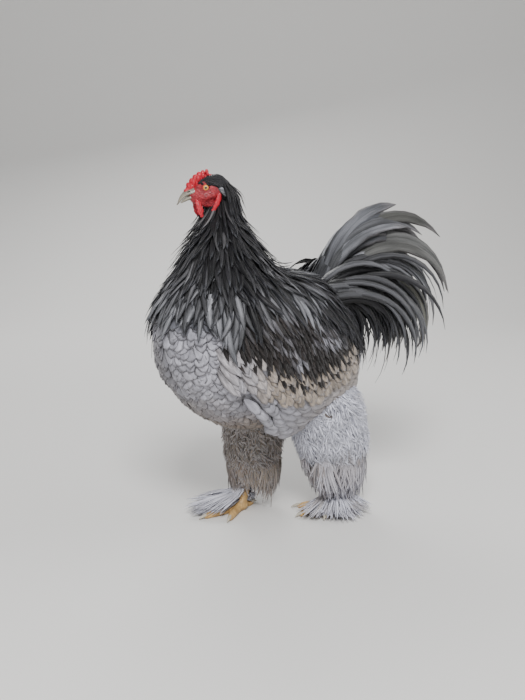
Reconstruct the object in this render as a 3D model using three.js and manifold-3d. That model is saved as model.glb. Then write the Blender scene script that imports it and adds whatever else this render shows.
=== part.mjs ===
// A life-size standing Brahma cock: a large, broad chicken with a pea comb, a long neck hackle, arched
// saddle and sickle feathers and heavily feathered legs and feet.
// Millimetres, +Z up. The bird looks along -X, its left side is -Y, and it stands on the plane z = 0.

import * as THREE from "three";
import { mergeVertices } from "three/addons/utils/BufferGeometryUtils.js";
import Module from "manifold-3d";

const wasm = await Module();
wasm.setup();

// Driving sizes of the bird.
const GAP = 0.3; // space kept between two touching sub-parts
const BREAST_X = -273; // front of the breast
const RUMP_X = 146; // back of the fluff under the tail
const STRIDE = 150; // how far the right foot stands before the left one
const STANCE = 104; // between the middles of the two feet
const HOCK_Z = 128;
const HEAD_AT = new THREE.Vector3(-176, 12, 632); // middle of the skull
const HEAD_TURN = 22; // degrees that the head looks to the bird's right
const HEAD_NOD = 9; // degrees that the bill points down
const SEED = 20311;
const SLIVER = 0.03; // folds smaller than this are smoothed away

const V = (x, y, z) => new THREE.Vector3(x, y, z);
const rad = (degrees) => (degrees * Math.PI) / 180;
const lerp = (a, b, t) => a + (b - a) * t;
const clamp01 = (t) => Math.min(1, Math.max(0, t));

// Repeatable random numbers from 0 to 1.
function makeRandom(seed) {
  let state = seed;
  return () => {
    state = (state + 0x6d2b79f5) | 0;
    let t = Math.imul(state ^ (state >>> 15), 1 | state);
    t = (t + Math.imul(t ^ (t >>> 7), 61 | t)) ^ t;
    return ((t ^ (t >>> 14)) >>> 0) / 4294967296;
  };
}

// A smooth value through rows of [key, value, value, ...] at a key.
function smoothRow(rows, key) {
  const last = rows.length - 1;
  const k = Math.min(rows[last][0], Math.max(rows[0][0], key));
  let i = 0;
  while (i < last - 1 && rows[i + 1][0] < k) i += 1;
  const before = rows[Math.max(0, i - 1)];
  const a = rows[i];
  const b = rows[i + 1];
  const after = rows[Math.min(last, i + 2)];
  const t = (k - a[0]) / (b[0] - a[0]);
  return a.slice(1).map((value, j) => {
    const c = j + 1;
    const span = b[0] - a[0];
    const slopeA = (b[c] - before[c]) / Math.max(1e-6, b[0] - before[0]);
    const slopeB = (after[c] - a[c]) / Math.max(1e-6, after[0] - a[0]);
    const t2 = t * t;
    const t3 = t2 * t;
    return (
      (2 * t3 - 3 * t2 + 1) * value +
      (t3 - 2 * t2 + t) * span * slopeA +
      (3 * t2 - 2 * t3) * b[c] +
      (t3 - t2) * span * slopeB
    );
  });
}

// A closed solid from points and triangles.
function solidFrom(points, triangles) {
  const vertProperties = new Float32Array(points.length * 3);
  points.forEach((p, i) => vertProperties.set([p.x, p.y, p.z], i * 3));
  const triVerts = new Uint32Array(triangles.flat());
  const made = new wasm.Manifold(
    new wasm.Mesh({ numProp: 3, vertProperties, triVerts }),
  );
  if (made.volume() >= 0) return made;
  return solidFrom(
    points,
    triangles.map(([a, b, c]) => [a, c, b]),
  );
}

// A closed solid from rings with equal numbers of points, with a fan at each end.
function loft(rings) {
  const n = rings[0].length;
  const points = rings.flat();
  const triangles = [];
  for (let r = 0; r < rings.length - 1; r += 1)
    for (let i = 0; i < n; i += 1) {
      const a = r * n + i;
      const b = r * n + ((i + 1) % n);
      triangles.push([a, b, a + n], [b, b + n, a + n]);
    }
  const middle = (ring) =>
    ring.reduce((sum, p) => sum.add(p), V(0, 0, 0)).divideScalar(n);
  const first = points.push(middle(rings[0])) - 1;
  const last = points.push(middle(rings[rings.length - 1])) - 1;
  const end = (rings.length - 1) * n;
  for (let i = 0; i < n; i += 1) {
    const j = (i + 1) % n;
    triangles.push([first, j, i], [last, end + i, end + j]);
  }
  return solidFrom(points, triangles);
}

// A three.js geometry as a solid.
function solidOf(geometry) {
  const bare = geometry.index ? geometry.toNonIndexed() : geometry.clone();
  const only = new THREE.BufferGeometry().setAttribute(
    "position",
    bare.getAttribute("position"),
  );
  const merged = mergeVertices(only, 1e-4);
  return new wasm.Manifold(
    new wasm.Mesh({
      numProp: 3,
      vertProperties: merged.attributes.position.array,
      triVerts: new Uint32Array(merged.index.array),
    }),
  );
}

// An ellipsoid with its radii along X, Y and Z.
function ball(at, rx, ry, rz, turn = new THREE.Euler(), detail = [16, 10]) {
  const geometry = new THREE.SphereGeometry(1, detail[0], detail[1]);
  geometry.rotateX(Math.PI / 2);
  const matrix = new THREE.Matrix4().compose(
    at,
    new THREE.Quaternion().setFromEuler(turn),
    V(rx, ry, rz),
  );
  geometry.applyMatrix4(matrix);
  return solidOf(geometry);
}

const unite = (solids) => wasm.Manifold.union(solids);

// The largest closed body of a solid.
function largest(solid) {
  const bodies = solid.decompose();
  bodies.sort((a, b) => b.volume() - a.volume());
  return bodies[0];
}

// A solid's geometry, with slivers smoothed away and points that fall together made one.
function geometryOf(solid) {
  let body = largest(solid.simplify(SLIVER));
  for (let pass = 0; pass < 2; pass += 1) {
    const mesh = body.getMesh();
    const rounded = Float32Array.from(mesh.vertProperties, (value) => Math.round(value * 1000) / 1000);
    const geometry = new THREE.BufferGeometry()
      .setAttribute("position", new THREE.BufferAttribute(rounded, 3))
      .setIndex(new THREE.BufferAttribute(new Uint32Array(mesh.triVerts), 1));
    body = largest(solidOf(geometry).simplify(SLIVER));
  }
  const mesh = body.getMesh();
  return new THREE.BufferGeometry()
    .setAttribute("position", new THREE.BufferAttribute(new Float32Array(mesh.vertProperties), 3))
    .setIndex(new THREE.BufferAttribute(new Uint32Array(mesh.triVerts), 1));
}

// A tapered round limb through points with a radius at each.
function limb(path, radii, sides = 8, flat = 1, grow = 0) {
  const last = path.length - 1;
  const span = path[last].clone().sub(path[0]).normalize();
  const guide = Math.abs(span.z) > 0.7 ? V(1, 0, 0) : V(0, 0, 1);
  const rings = path.map((p, i) => {
    const ahead = path[Math.min(path.length - 1, i + 1)];
    const behind = path[Math.max(0, i - 1)];
    const along = ahead.clone().sub(behind).normalize();
    const side = guide.clone().cross(along).normalize();
    const up = along.clone().cross(side).normalize();
    const end = i === 0 ? -grow : i === last ? grow : 0;
    return Array.from({ length: sides }, (_, k) => {
      const angle = (2 * Math.PI * k) / sides;
      return p
        .clone()
        .addScaledVector(along, end)
        .addScaledVector(side, Math.cos(angle) * (radii[i] + grow))
        .addScaledVector(up, Math.sin(angle) * (radii[i] * flat + grow));
    });
  });
  return loft(rings);
}

// A feather's vane or lock: a thin, tapered blade along a path. outward gives the way its upper face
// looks at each point. A section is a flat rhombus, split alike on the upper and the lower face. Grown
// by a gap, it has six points, so that its thin edges are cleared as well.
function vane({ path, outward, width, thick, camber = 0.12, grow = 0, blunt = 0.25 }) {
  const last = path.length - 1;
  const rings = [];
  for (let i = 0; i < last; i += 1) {
    const t = i / last;
    const along = path[i + 1].clone().sub(path[Math.max(0, i - 1)]).normalize();
    const up = outward[i].clone();
    up.addScaledVector(along, -up.dot(along)).normalize();
    const side = along.clone().cross(up).normalize();
    const taper = t < 0.6 ? 1 : lerp(1, blunt * 2, (t - 0.6) / 0.4);
    const half = (width / 2) * Math.min(1, 0.62 + 1.1 * t) * taper;
    const deep = (thick / 2) * lerp(1, 0.6, t) + grow;
    const from = path[i].clone().addScaledVector(along, i === 0 ? -grow : 0);
    const at = (out, rise) => from.clone().addScaledVector(side, out).addScaledVector(up, rise);
    const edge = half + grow;
    const drop = -camber * half;
    const left = grow ? [at(-edge, drop + grow), at(-edge, drop - grow)] : [at(-edge, drop)];
    const right = grow ? [at(edge, drop - grow), at(edge, drop + grow)] : [at(edge, drop)];
    rings.push([at(0, deep), ...left, at(0, -deep), ...right]);
  }
  const n = rings[0].length;
  const points = rings.flat();
  const tipAlong = path[last].clone().sub(path[last - 1]).normalize();
  const tip = points.push(path[last].clone().addScaledVector(tipAlong, 2 * grow)) - 1;
  const triangles = [];
  for (let k = 1; k < n - 1; k += 1) triangles.push([0, k, k + 1]);
  const split = grow ? [true, false, false, false, false, true] : [true, false, false, true];
  for (let r = 0; r < last - 1; r += 1)
    for (let k = 0; k < n; k += 1) {
      const a = r * n + k;
      const b = r * n + ((k + 1) % n);
      if (split[k]) triangles.push([a, a + n, b + n], [a, b + n, b]);
      else triangles.push([a, a + n, b], [b, a + n, b + n]);
    }
  const end = (last - 1) * n;
  for (let k = 0; k < n; k += 1) triangles.push([end + k, tip, end + ((k + 1) % n)]);
  return solidFrom(points, triangles);
}

// The trunk's stations: x, middle height, half width, half height.
const TRUNK = [
  [BREAST_X, 366, 8, 9],
  [-268, 366, 34, 38],
  [-255, 365, 68, 74],
  [-232, 361, 100, 108],
  [-200, 354, 122, 132],
  [-150, 344, 134, 147],
  [-90, 338, 136, 147],
  [-30, 336, 131, 138],
  [30, 330, 120, 130],
  [80, 318, 100, 116],
  [116, 304, 74, 92],
  [136, 294, 44, 56],
  [RUMP_X, 290, 10, 14],
];

// How far out a point lies from the trunk's middle line, 1 being the surface.
function trunkShare(p) {
  const x = Math.min(RUMP_X - 40, Math.max(BREAST_X + 30, p.x));
  const [middle, wide, high] = smoothRow(TRUNK, x);
  const beyond = (Math.abs(p.x - x) / 46) ** 2;
  const y = Math.abs(p.y) / wide;
  const z = Math.abs(p.z - middle) / high;
  return Math.pow(y ** 2.3 + z ** 2.3, 1 / 2.3) + beyond;
}

// The way out of the trunk at a point.
function trunkNormal(p) {
  const step = 1.5;
  const n = V(
    trunkShare(V(p.x + step, p.y, p.z)) - trunkShare(V(p.x - step, p.y, p.z)),
    trunkShare(V(p.x, p.y + step, p.z)) - trunkShare(V(p.x, p.y - step, p.z)),
    trunkShare(V(p.x, p.y, p.z + step)) - trunkShare(V(p.x, p.y, p.z - step)),
  );
  const slope = n.length() / (2 * step);
  return { n: n.normalize(), slope };
}

// Moves a point along the trunk's normal until it is at least clear (or exactly at, with stick) from it.
function clearOfTrunk(p, clear, stick = false) {
  const q = p.clone();
  for (let k = 0; k < 6; k += 1) {
    const { n, slope } = trunkNormal(q);
    const away = (trunkShare(q) - 1) / Math.max(1e-4, slope);
    if (!stick && away >= clear) return q;
    q.addScaledVector(n, clear - away);
  }
  return q;
}

// The trunk as a solid, grown on every side by a gap.
function trunkSolid(grow = 0, sides = 24) {
  const stations = [];
  for (let i = 0; i <= 15; i += 1) {
    const t = i / 15;
    const eased = 0.5 - 0.5 * Math.cos(Math.PI * t);
    stations.push(lerp(BREAST_X, RUMP_X, lerp(t, eased, 0.75)));
  }
  const rings = stations.map((x, r) => {
    const [middle, wide, high] = smoothRow(TRUNK, x);
    const shift = r === 0 ? -grow : r === stations.length - 1 ? grow : 0;
    return Array.from({ length: sides }, (_, k) => {
      const angle = (2 * Math.PI * k) / sides;
      const c = Math.cos(angle);
      const s = Math.sin(angle);
      const round = Math.pow(Math.abs(c) ** 2.3 + Math.abs(s) ** 2.3, -1 / 2.3);
      return V(x + shift, c * round * (wide + grow), middle + s * round * (high + grow));
    });
  });
  return loft(rings);
}

// The neck's stations from the shoulders to the throat: height along it, centre x, y, radius along X, along Y.
const NECK = [
  [400, -150, 0, 104, 98],
  [440, -150, 0, 98, 92],
  [487, -150, 2, 88, 80],
  [523, -150, 5, 74, 66],
  [548, -150, 7, 58, 52],
  [570, -150, 9, 45, 41],
  [596, -152, 11, 34, 31],
  [622, -156, 12, 27, 26],
];

function neckPoint(z, angle, out = 0) {
  const [x, y, rx, ry] = smoothRow(NECK, z);
  return V(x + Math.cos(angle) * (rx + out), y + Math.sin(angle) * (ry + out), z);
}

function neckCore(grow = 0, sides = 18) {
  const rings = [];
  for (let i = 0; i <= 8; i += 1) {
    const z = lerp(402 - grow, 622 + grow, i / 8);
    rings.push(
      Array.from({ length: sides }, (_, k) => neckPoint(z, (2 * Math.PI * k) / sides, grow)),
    );
  }
  return loft(rings);
}

// Hackle locks: tiers down the neck, each lock hanging over the one below and out over the shoulders.
const HACKLE_TIERS = [
  { z: 608, count: 9, long: 80, wide: 22, lift: 7, steps: 3 },
  { z: 578, count: 10, long: 105, wide: 30, lift: 9, steps: 3 },
  { z: 536, count: 11, long: 130, wide: 38, lift: 10, steps: 3 },
  { z: 486, count: 13, long: 150, wide: 42, lift: 8, steps: 4 },
];

function hackleLocks(grow = 0) {
  const random = makeRandom(SEED);
  const locks = [];
  HACKLE_TIERS.forEach((tier, level) => {
    for (let k = 0; k < tier.count; k += 1) {
      const angle = (2 * Math.PI * (k + 0.5 * (level % 2))) / tier.count + (random() - 0.5) * 0.12;
      const front = Math.max(0, -Math.cos(angle));
      const long = tier.long * lerp(1, 0.9, front) * lerp(0.92, 1.08, random());
      const { steps } = tier;
      const path = [];
      const outward = [];
      for (let i = 0; i <= steps; i += 1) {
        const t = i / steps;
        const z = tier.z + 8 - long * t;
        const out = lerp(-6, tier.lift, Math.min(1, t * 2.2)) + 10 * Math.max(0, t - 0.5);
        const lean = angle + 0.1 * Math.sin(angle) * t;
        const p = neckPoint(Math.max(z, 410), lean, out);
        p.z = z;
        const at = t > 0.3 ? clearOfTrunk(p, 3 + (3 - level) * 2.2) : p;
        path.push(at);
        const radial = V(Math.cos(lean), Math.sin(lean), 0.35);
        outward.push(trunkShare(at) < 1.15 && t > 0.3 ? trunkNormal(at).n.lerp(radial, 0.4) : radial);
      }
      locks.push(vane({ path, outward, width: tier.wide, thick: 2.4, grow, camber: 0.2 }));
    }
  });
  return locks;
}

// The head's own frame looks along -X; this places it on the neck.
const HEAD_MATRIX = new THREE.Matrix4().compose(
  HEAD_AT,
  new THREE.Quaternion().setFromEuler(new THREE.Euler(0, rad(-HEAD_NOD), rad(-HEAD_TURN), "ZYX")),
  V(1, 1, 1),
);
const inHead = (solid) => solid.transform(HEAD_MATRIX.toArray());

// The skull's stations in the head's frame: x, middle z, half width, half height.
const SKULL = [
  [-35, -5, 8, 9],
  [-29, -4, 11, 14],
  [-19, -2, 15.5, 20],
  [-7, 0, 18.5, 23.5],
  [6, 1, 20.5, 25],
  [19, 0, 20.5, 24.5],
  [30, -4, 17, 21],
  [37, -8, 9, 12],
];

function skull(grow = 0) {
  const rings = [];
  const sides = 16;
  for (let i = 0; i <= 10; i += 1) {
    const x = lerp(-35, 37, i / 10);
    const [middle, wide, high] = smoothRow(SKULL, x);
    const shift = i === 0 ? -grow : i === 10 ? grow : 0;
    rings.push(
      Array.from({ length: sides }, (_, k) => {
        const angle = (2 * Math.PI * k) / sides;
        return V(
          x + shift,
          Math.cos(angle) * (wide + grow),
          middle + Math.sin(angle) * (high + grow),
        );
      }),
    );
  }
  return loft(rings);
}

const EYE = { x: -9, y: 14.2, z: 6.5, radius: 6.2 };

function eye(side, grow = 0) {
  const at = V(EYE.x, side * EYE.y, EYE.z);
  const r = EYE.radius + grow;
  return ball(at, r, r, r, new THREE.Euler(), [10, 7]);
}

// The bare rim of lids round an eye.
function lids(side, grow = 0) {
  const ring = new THREE.TorusGeometry(EYE.radius, 1.6 + grow, 5, 12);
  ring.rotateX(Math.PI / 2);
  ring.translate(EYE.x, side * (EYE.y + 3.6), EYE.z);
  return solidOf(ring);
}

// The pea comb: three rows of low peas over the bill and forehead.
function comb(grow = 0) {
  const peas = [];
  const rows = [
    { y: 0, count: 6, size: 5.4, high: 5.5 },
    { y: 5.6, count: 4, size: 4.8, high: 2.2 },
    { y: -5.6, count: 4, size: 4.8, high: 2.2 },
  ];
  rows.forEach((row) => {
    for (let k = 0; k < row.count; k += 1) {
      const t = k / (row.count - 1);
      const x = lerp(-41, 5, t);
      const ridge = 6 + 22 * Math.sin(rad(lerp(8, 88, t)));
      const size = row.size * lerp(0.85, 1.15, Math.sin(Math.PI * t)) + grow;
      const at = V(x, row.y * lerp(0.7, 1, t), ridge + row.high - 3);
      peas.push(ball(at, size, size * 0.9, size * 1.35, new THREE.Euler(), [6, 4]));
    }
  });
  const base = [];
  for (let k = 0; k <= 4; k += 1) base.push(lerp(-42, 8, k / 4));
  const spine = base.map((x, k) => V(x, 0, 3 + 22 * Math.sin(rad(lerp(8, 88, k / 4)))));
  peas.push(limb(spine, base.map(() => 5.2), 6, 0.9, grow));
  return unite(peas);
}

// Upper half of the bill: hooked, with a ridge along the top.
function billUpper(grow = 0) {
  const rows = [
    [-30, 1.5, 9.2, 8.2],
    [-38, 1, 8.2, 7.6],
    [-46, -1.5, 6.6, 6.6],
    [-54, -6, 4.6, 5.2],
    [-60, -10.5, 2.8, 3.8],
    [-64, -15, 1.2, 2],
  ];
  const rings = rows.map(([x, z, wide, high]) =>
    Array.from({ length: 12 }, (_, k) => {
      const angle = (2 * Math.PI * k) / 12;
      const s = Math.sin(angle);
      const up = s > 0 ? high : high * 0.45;
      return V(x - (x < -62 ? grow : 0), Math.cos(angle) * (wide + grow), z + s * (up + grow));
    }),
  );
  return loft(rings);
}

function billLower(grow = 0) {
  const rows = [
    [-28, -6.5, 7.4, 3.6],
    [-38, -8, 6.2, 3.4],
    [-47, -10.8, 4.2, 2.8],
    [-54, -13.5, 1.8, 1.4],
  ];
  const rings = rows.map(([x, z, wide, high]) =>
    Array.from({ length: 10 }, (_, k) => {
      const angle = (2 * Math.PI * k) / 10;
      const ahead = x < -52 ? grow : 0;
      return V(x - ahead, Math.cos(angle) * (wide + grow), z + Math.sin(angle) * (high + grow));
    }),
  );
  return loft(rings);
}

// A small hanging wattle: a flat, rounded fold with a swollen edge.
function wattle(side, grow = 0) {
  const path = [V(-27, side * 9.5, -13), V(-26, side * 11.5, -22), V(-25, side * 12.5, -32), V(-24, side * 12.5, -41), V(-23.5, side * 12, -46)];
  const wide = [5, 8, 9, 7.5, 3.5];
  const rings = path.map((p, i) =>
    Array.from({ length: 10 }, (_, k) => {
      const angle = (2 * Math.PI * k) / 10;
      const thick = lerp(2.2, 3, i / 4) + grow;
      const end = i === 0 ? grow : i === 4 ? -grow : 0;
      return V(p.x + Math.cos(angle) * (wide[i] + grow), p.y + Math.sin(angle) * thick, p.z + end);
    }),
  );
  return loft(rings);
}

// The long red ear lobe that runs from behind the eye down the cheek.
function earLobe(side, grow = 0) {
  const path = [V(14, side * 18, -6), V(11, side * 19.8, -14), V(6, side * 19.5, -23), V(0, side * 17.5, -31), V(-6, side * 14.5, -38)];
  return limb(path, [4, 5.6, 5, 3.8, 1.8], 8, 0.6, grow);
}

// The folded wing: x, upper edge, lower edge, how far its face stands out beyond the trunk.
const WING = [
  [-224, 392, 350, 1],
  [-205, 422, 300, 7],
  [-165, 440, 244, 11],
  [-110, 436, 208, 13],
  [-50, 420, 204, 12],
  [10, 390, 222, 9],
  [60, 348, 250, 6],
  [106, 296, 276, 2],
];

// A point of the wing's outer face, which hangs straighter than the trunk's side.
function wingPoint(side, x, z, out = 0) {
  const [middle, wide, high] = smoothRow(TRUNK, x);
  const [, , bulge] = smoothRow(WING, x);
  const down = Math.min(0.97, Math.abs(z - middle) / (high * 1.32));
  const y = (wide + bulge) * Math.pow(1 - down ** 2.6, 1 / 2.6);
  return V(x, side * (y + out), z);
}

function wingNormal(side, x, z) {
  const a = wingPoint(side, x + 4, z).sub(wingPoint(side, x - 4, z));
  const b = wingPoint(side, x, z + 4).sub(wingPoint(side, x, z - 4));
  const n = a.cross(b).normalize();
  return n.y * side < 0 ? n.negate() : n;
}

// A wing vane from its root to its tip over the wing's face.
function wingVane(side, from, to, out, width, grow) {
  const steps = width > 30 ? 2 : 3;
  const path = [];
  const outward = [];
  for (let i = 0; i <= steps; i += 1) {
    const t = i / steps;
    const x = lerp(from[0], to[0], t);
    const z = lerp(from[1], to[1], t) - 7 * Math.sin(Math.PI * t);
    path.push(wingPoint(side, x, z, lerp(-5, out + 5, Math.min(1, t * 1.6))));
    outward.push(wingNormal(side, x, z));
  }
  return vane({ path, outward, width, thick: 2.2, grow, camber: 0.1, blunt: 0.42 });
}

// The flight vanes and three rows of coverts of one wing.
function wing(side, grow = 0) {
  const random = makeRandom(SEED + 5 + side);
  const rings = [];
  for (let i = 0; i <= 8; i += 1) {
    const x = lerp(-224 - grow, 106 + grow, i / 8);
    const [upper, lower] = smoothRow(WING, x);
    const ring = [];
    for (let k = 0; k <= 4; k += 1)
      ring.push(wingPoint(side, x, lerp(lower - grow, upper + grow, k / 4), grow - 2));
    for (let k = 4; k >= 0; k -= 1) {
      const z = lerp(lower - grow, upper + grow, k / 4);
      ring.push(wingPoint(side, x, z, -grow - lerp(5, 16, Math.sin((Math.PI * k) / 4))));
    }
    rings.push(ring);
  }
  const solids = [loft(rings)];
  for (let k = 0; k < 6; k += 1) {
    const from = [-112 + 11 * k, 230 + 18 * k];
    const to = [40 + 14 * k, 216 + 12.5 * k];
    solids.push(wingVane(side, from, to, 1 + 1.1 * k, 29.9, grow));
  }
  const rows = [
    { count: 5, x: -168, z: 292, dx: 34, dz: 17, long: 72, out: 5, wide: 44 },
    { count: 5, x: -192, z: 345, dx: 35, dz: 11, long: 64, out: 6, wide: 44 },
    { count: 4, x: -204, z: 392, dx: 40, dz: 6, long: 60, out: 6, wide: 46 },
  ];
  rows.forEach((row) => {
    for (let k = 0; k < row.count; k += 1) {
      const from = [row.x + row.dx * k, row.z + row.dz * k];
      const lean = rad(lerp(-48, -8, k / (row.count - 1)) + 6 * (random() - 0.5));
      const to = [from[0] + row.long * Math.cos(lean), from[1] + row.long * Math.sin(lean)];
      solids.push(wingVane(side, from, to, row.out, row.wide, grow));
    }
  });
  return unite(solids);
}

// A path that leaves its root at a rise and bends down along its length; aside is the way it leans out.
function arch({ root, rise, bend, aside, long, steps, ease = 1.2 }) {
  const path = [root.clone()];
  const outward = [];
  const at = root.clone();
  const fine = 6;
  for (let i = 0; i < steps * fine; i += 1) {
    const t = (i + 0.5) / (steps * fine);
    const up = rad(rise - bend * Math.pow(t, ease));
    const out = rad(aside);
    const way = V(Math.cos(up) * Math.cos(out), Math.cos(up) * Math.sin(out), Math.sin(up));
    at.addScaledVector(way, long / (steps * fine));
    if ((i + 1) % fine === 0) path.push(at.clone());
  }
  path.forEach((p, i) => {
    const t = i / steps;
    const up = rad(rise - bend * Math.pow(t, ease));
    outward.push(V(-Math.sin(up) * Math.cos(rad(aside)), -Math.sin(up) * Math.sin(rad(aside)), Math.cos(up)));
  });
  return { path, outward };
}

// Rolls the upper face of a vane towards the bird's side.
function rolled(made, side, degrees) {
  made.outward = made.outward.map((up, i) => {
    const ahead = made.path[Math.min(made.path.length - 1, i + 1)];
    const along = ahead.clone().sub(made.path[Math.max(0, i - 1)]).normalize();
    const out = up.clone().cross(along).normalize();
    if (out.y * side < 0) out.negate();
    return up.clone().multiplyScalar(Math.cos(rad(degrees))).addScaledVector(out, Math.sin(rad(degrees)));
  });
  return made;
}

// The tail: a roofed fan of main vanes and, over it on each side, arched sickles and lesser sickles.
function tailRoot(grow = 0) {
  return ball(V(92, 0, 398), 62 + grow, 40 + grow, 44 + grow, new THREE.Euler(0, rad(-38), 0), [16, 10]);
}

function mainTail(grow = 0) {
  const solids = [tailRoot(grow)];
  for (const side of [-1, 1])
    for (let k = 0; k < 4; k += 1) {
      const made = arch({
        root: V(96 + 3 * k, side * (4 + 5 * k), 424 - 8 * k),
        rise: 52 - 12 * k,
        bend: 20,
        aside: side * (5 + 7 * k),
        long: 205 - 8 * k,
        steps: 3,
      });
      solids.push(vane({ ...rolled(made, side, 68 - 4 * k), width: 52, thick: 2.4, grow, blunt: 0.42 }));
    }
  return unite(solids);
}

function sickles(side, grow = 0) {
  const random = makeRandom(SEED + 40 + side);
  const made = [];
  // The two great sickles of a side, then the lesser ones lower down.
  made.push({ x: 66, y: 10, z: 452, rise: 52, bend: 52, aside: 7, long: 190, wide: 44, roll: 44 });
  made.push({ x: 84, y: 16, z: 448, rise: 64, bend: 112, aside: 9, long: 345, wide: 46, roll: 50 });
  made.push({ x: 90, y: 24, z: 436, rise: 54, bend: 150, aside: 13, long: 375, wide: 46, roll: 56 });
  made.push({ x: 86, y: 30, z: 428, rise: 48, bend: 160, aside: 17, long: 320, wide: 42, roll: 60 });
  made.push({ x: 76, y: 36, z: 418, rise: 38, bend: 148, aside: 20, long: 270, wide: 40, roll: 62 });
  made.push({ x: 66, y: 42, z: 408, rise: 24, bend: 122, aside: 23, long: 225, wide: 38, roll: 64 });
  const solids = made.map((row, k) => {
    const path = arch({
      root: V(row.x, side * row.y, row.z),
      rise: row.rise + 4 * (random() - 0.5),
      bend: row.bend,
      aside: side * row.aside,
      long: row.long,
      steps: row.long > 300 ? 6 : 4,
    });
    return vane({ ...rolled(path, side, row.roll), width: row.wide, thick: 2.6, grow, blunt: 0.34 });
  });
  solids.push(ball(V(84, side * 32, 414), 34 + grow, 20 + grow, 34 + grow, new THREE.Euler(0, rad(-30), 0), [10, 7]));
  return unite(solids);
}

// Saddle locks of one side: they spring from the back and hang over the flank.
function saddle(side, grow = 0) {
  const random = makeRandom(SEED + 70 + side);
  const solids = [];
  const tiers = [
    { count: 5, from: -56, to: 44, y: 88, z: 436, long: 165, wide: 34, out: 5 },
    { count: 5, from: -46, to: 76, y: 60, z: 462, long: 205, wide: 34, out: 9 },
    { count: 4, from: -40, to: 84, y: 26, z: 474, long: 215, wide: 34, out: 14 },
  ];
  const bed = [];
  for (let i = 0; i <= 4; i += 1) {
    const x = lerp(-72, 92, i / 4);
    const rows = [14, 40, 66, 92];
    const top = rows.map((y) => clearOfTrunk(V(x, side * y, 470), 6 + grow, true));
    const low = rows.map((y) => clearOfTrunk(V(x, side * y, 470), -6 - grow, true));
    bed.push([...top, ...low.reverse()]);
  }
  solids.push(loft(bed));
  tiers.forEach((tier, level) => {
    for (let k = 0; k < tier.count; k += 1) {
      const x0 = lerp(tier.from, tier.to, k / (tier.count - 1)) + 5 * (random() - 0.5);
      const long = tier.long * lerp(0.9, 1.08, random());
      const path = [];
      const outward = [];
      const steps = 4;
      for (let i = 0; i <= steps; i += 1) {
        const t = i / steps;
        const run = long * t;
        const x = x0 + run * lerp(0.62, 0.42, t);
        const drop = run * lerp(0.3, 0.86, t);
        const raw = V(x, side * (tier.y + 0.36 * run), tier.z - drop);
        const p = clearOfTrunk(raw, tier.out + 12 * t * t + 1.5, i < 2);
        path.push(p);
        outward.push(V(0.2 + 0.5 * t, side * lerp(tier.y / 100, 1, t), lerp(1, 0.3, t)));
      }
      solids.push(vane({ path, outward, width: tier.wide, thick: 2.2, grow, camber: 0.18 }));
    }
  });
  return unite(solids);
}

// One leg's places: foot middle, hock and hip.
const LEGS = {
  right: { side: 1, foot: V(-78, STANCE / 2, 0), hock: V(-38, 50, HOCK_Z), hip: V(-30, 62, 232) },
  left: { side: -1, foot: V(-78 + STRIDE, -STANCE / 2, 0), hock: V(88, -62, HOCK_Z), hip: V(34, -74, 232) },
};

// The fluffy thigh, widest near the belly, with locks that hang over the hock.
function thigh(leg, grow = 0) {
  const random = makeRandom(SEED + 90 + leg.side);
  const rows = leg.side < 0
    ? [[-0.28, 20, 16], [-0.16, 56, 42], [0, 74, 56], [0.3, 78, 60], [0.6, 72, 58], [0.85, 54, 46], [1, 28, 26]]
    : [[-0.28, 20, 16], [-0.16, 50, 40], [0, 64, 52], [0.3, 64, 52], [0.6, 60, 50], [0.85, 48, 42], [1, 28, 26]];
  const top = leg.hip.clone();
  const low = leg.hock.clone().add(V(-10, leg.side * -2, -58));
  const ringAt = (t, out, sides) => {
    const [rx, ry] = smoothRow(rows, t);
    const middle = top.clone().lerp(low, t);
    return Array.from({ length: sides }, (_, k) => {
      const angle = (2 * Math.PI * k) / sides;
      return V(middle.x + Math.cos(angle) * (rx + out), middle.y + Math.sin(angle) * (ry + out), middle.z);
    });
  };
  const rings = [];
  for (let i = 0; i <= 8; i += 1) rings.push(ringAt(lerp(-0.28, 1, i / 8), grow - 5, 12));
  const solids = [loft(rings)];
  const tiers = [
    { t: 0.22, count: 6, long: 0.5, wide: 62 },
    { t: 0.52, count: 7, long: 0.56, wide: 50 },
  ];
  tiers.forEach((tier, level) => {
    for (let k = 0; k < tier.count; k += 1) {
      const angle = (2 * Math.PI * (k + 0.5 * level)) / tier.count + 0.2 * (random() - 0.5);
      const path = [];
      const outward = [];
      const long = tier.long * lerp(0.9, 1.15, random());
      for (let i = 0; i <= 3; i += 1) {
        const t = tier.t + (long * i) / 3;
        const [rx, ry] = smoothRow(rows, Math.min(1, t));
        const middle = top.clone().lerp(low, t);
        const out = lerp(-8, 5, Math.min(1, (i / 3) * 2)) - 6 * Math.max(0, t - 0.9);
        path.push(V(middle.x + Math.cos(angle) * (rx + out), middle.y + Math.sin(angle) * (ry + out), middle.z));
        outward.push(V(Math.cos(angle), Math.sin(angle), -0.2));
      }
      solids.push(vane({ path, outward, width: tier.wide, thick: 3, grow, camber: 0.25, blunt: 0.4 }));
    }
  });
  return unite(solids);
}

// The bare, scaled shank from the hock to the foot.
function shank(leg, grow = 0) {
  const ankle = leg.foot.clone().add(V(6, 0, 20));
  const start = leg.hock.clone();
  const path = [0, 0.35, 0.7, 1].map((t) => start.clone().lerp(ankle, t));
  return limb(path, [11.5, 9.2, 8.8, 11], 10, 1.15, grow);
}

// Toes: heading from straight ahead towards the outer side, length, thickness.
const TOES = [
  { name: "inner", heading: -34, long: 58, thick: 7.4 },
  { name: "middle", heading: 2, long: 76, thick: 8 },
  { name: "outer", heading: 38, long: 62, thick: 7.2 },
  { name: "back", heading: 168, long: 34, thick: 6.2 },
];

function toeWay(leg, toe) {
  const a = rad(toe.heading);
  return V(-Math.cos(a), leg.side * Math.sin(a), 0);
}

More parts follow.
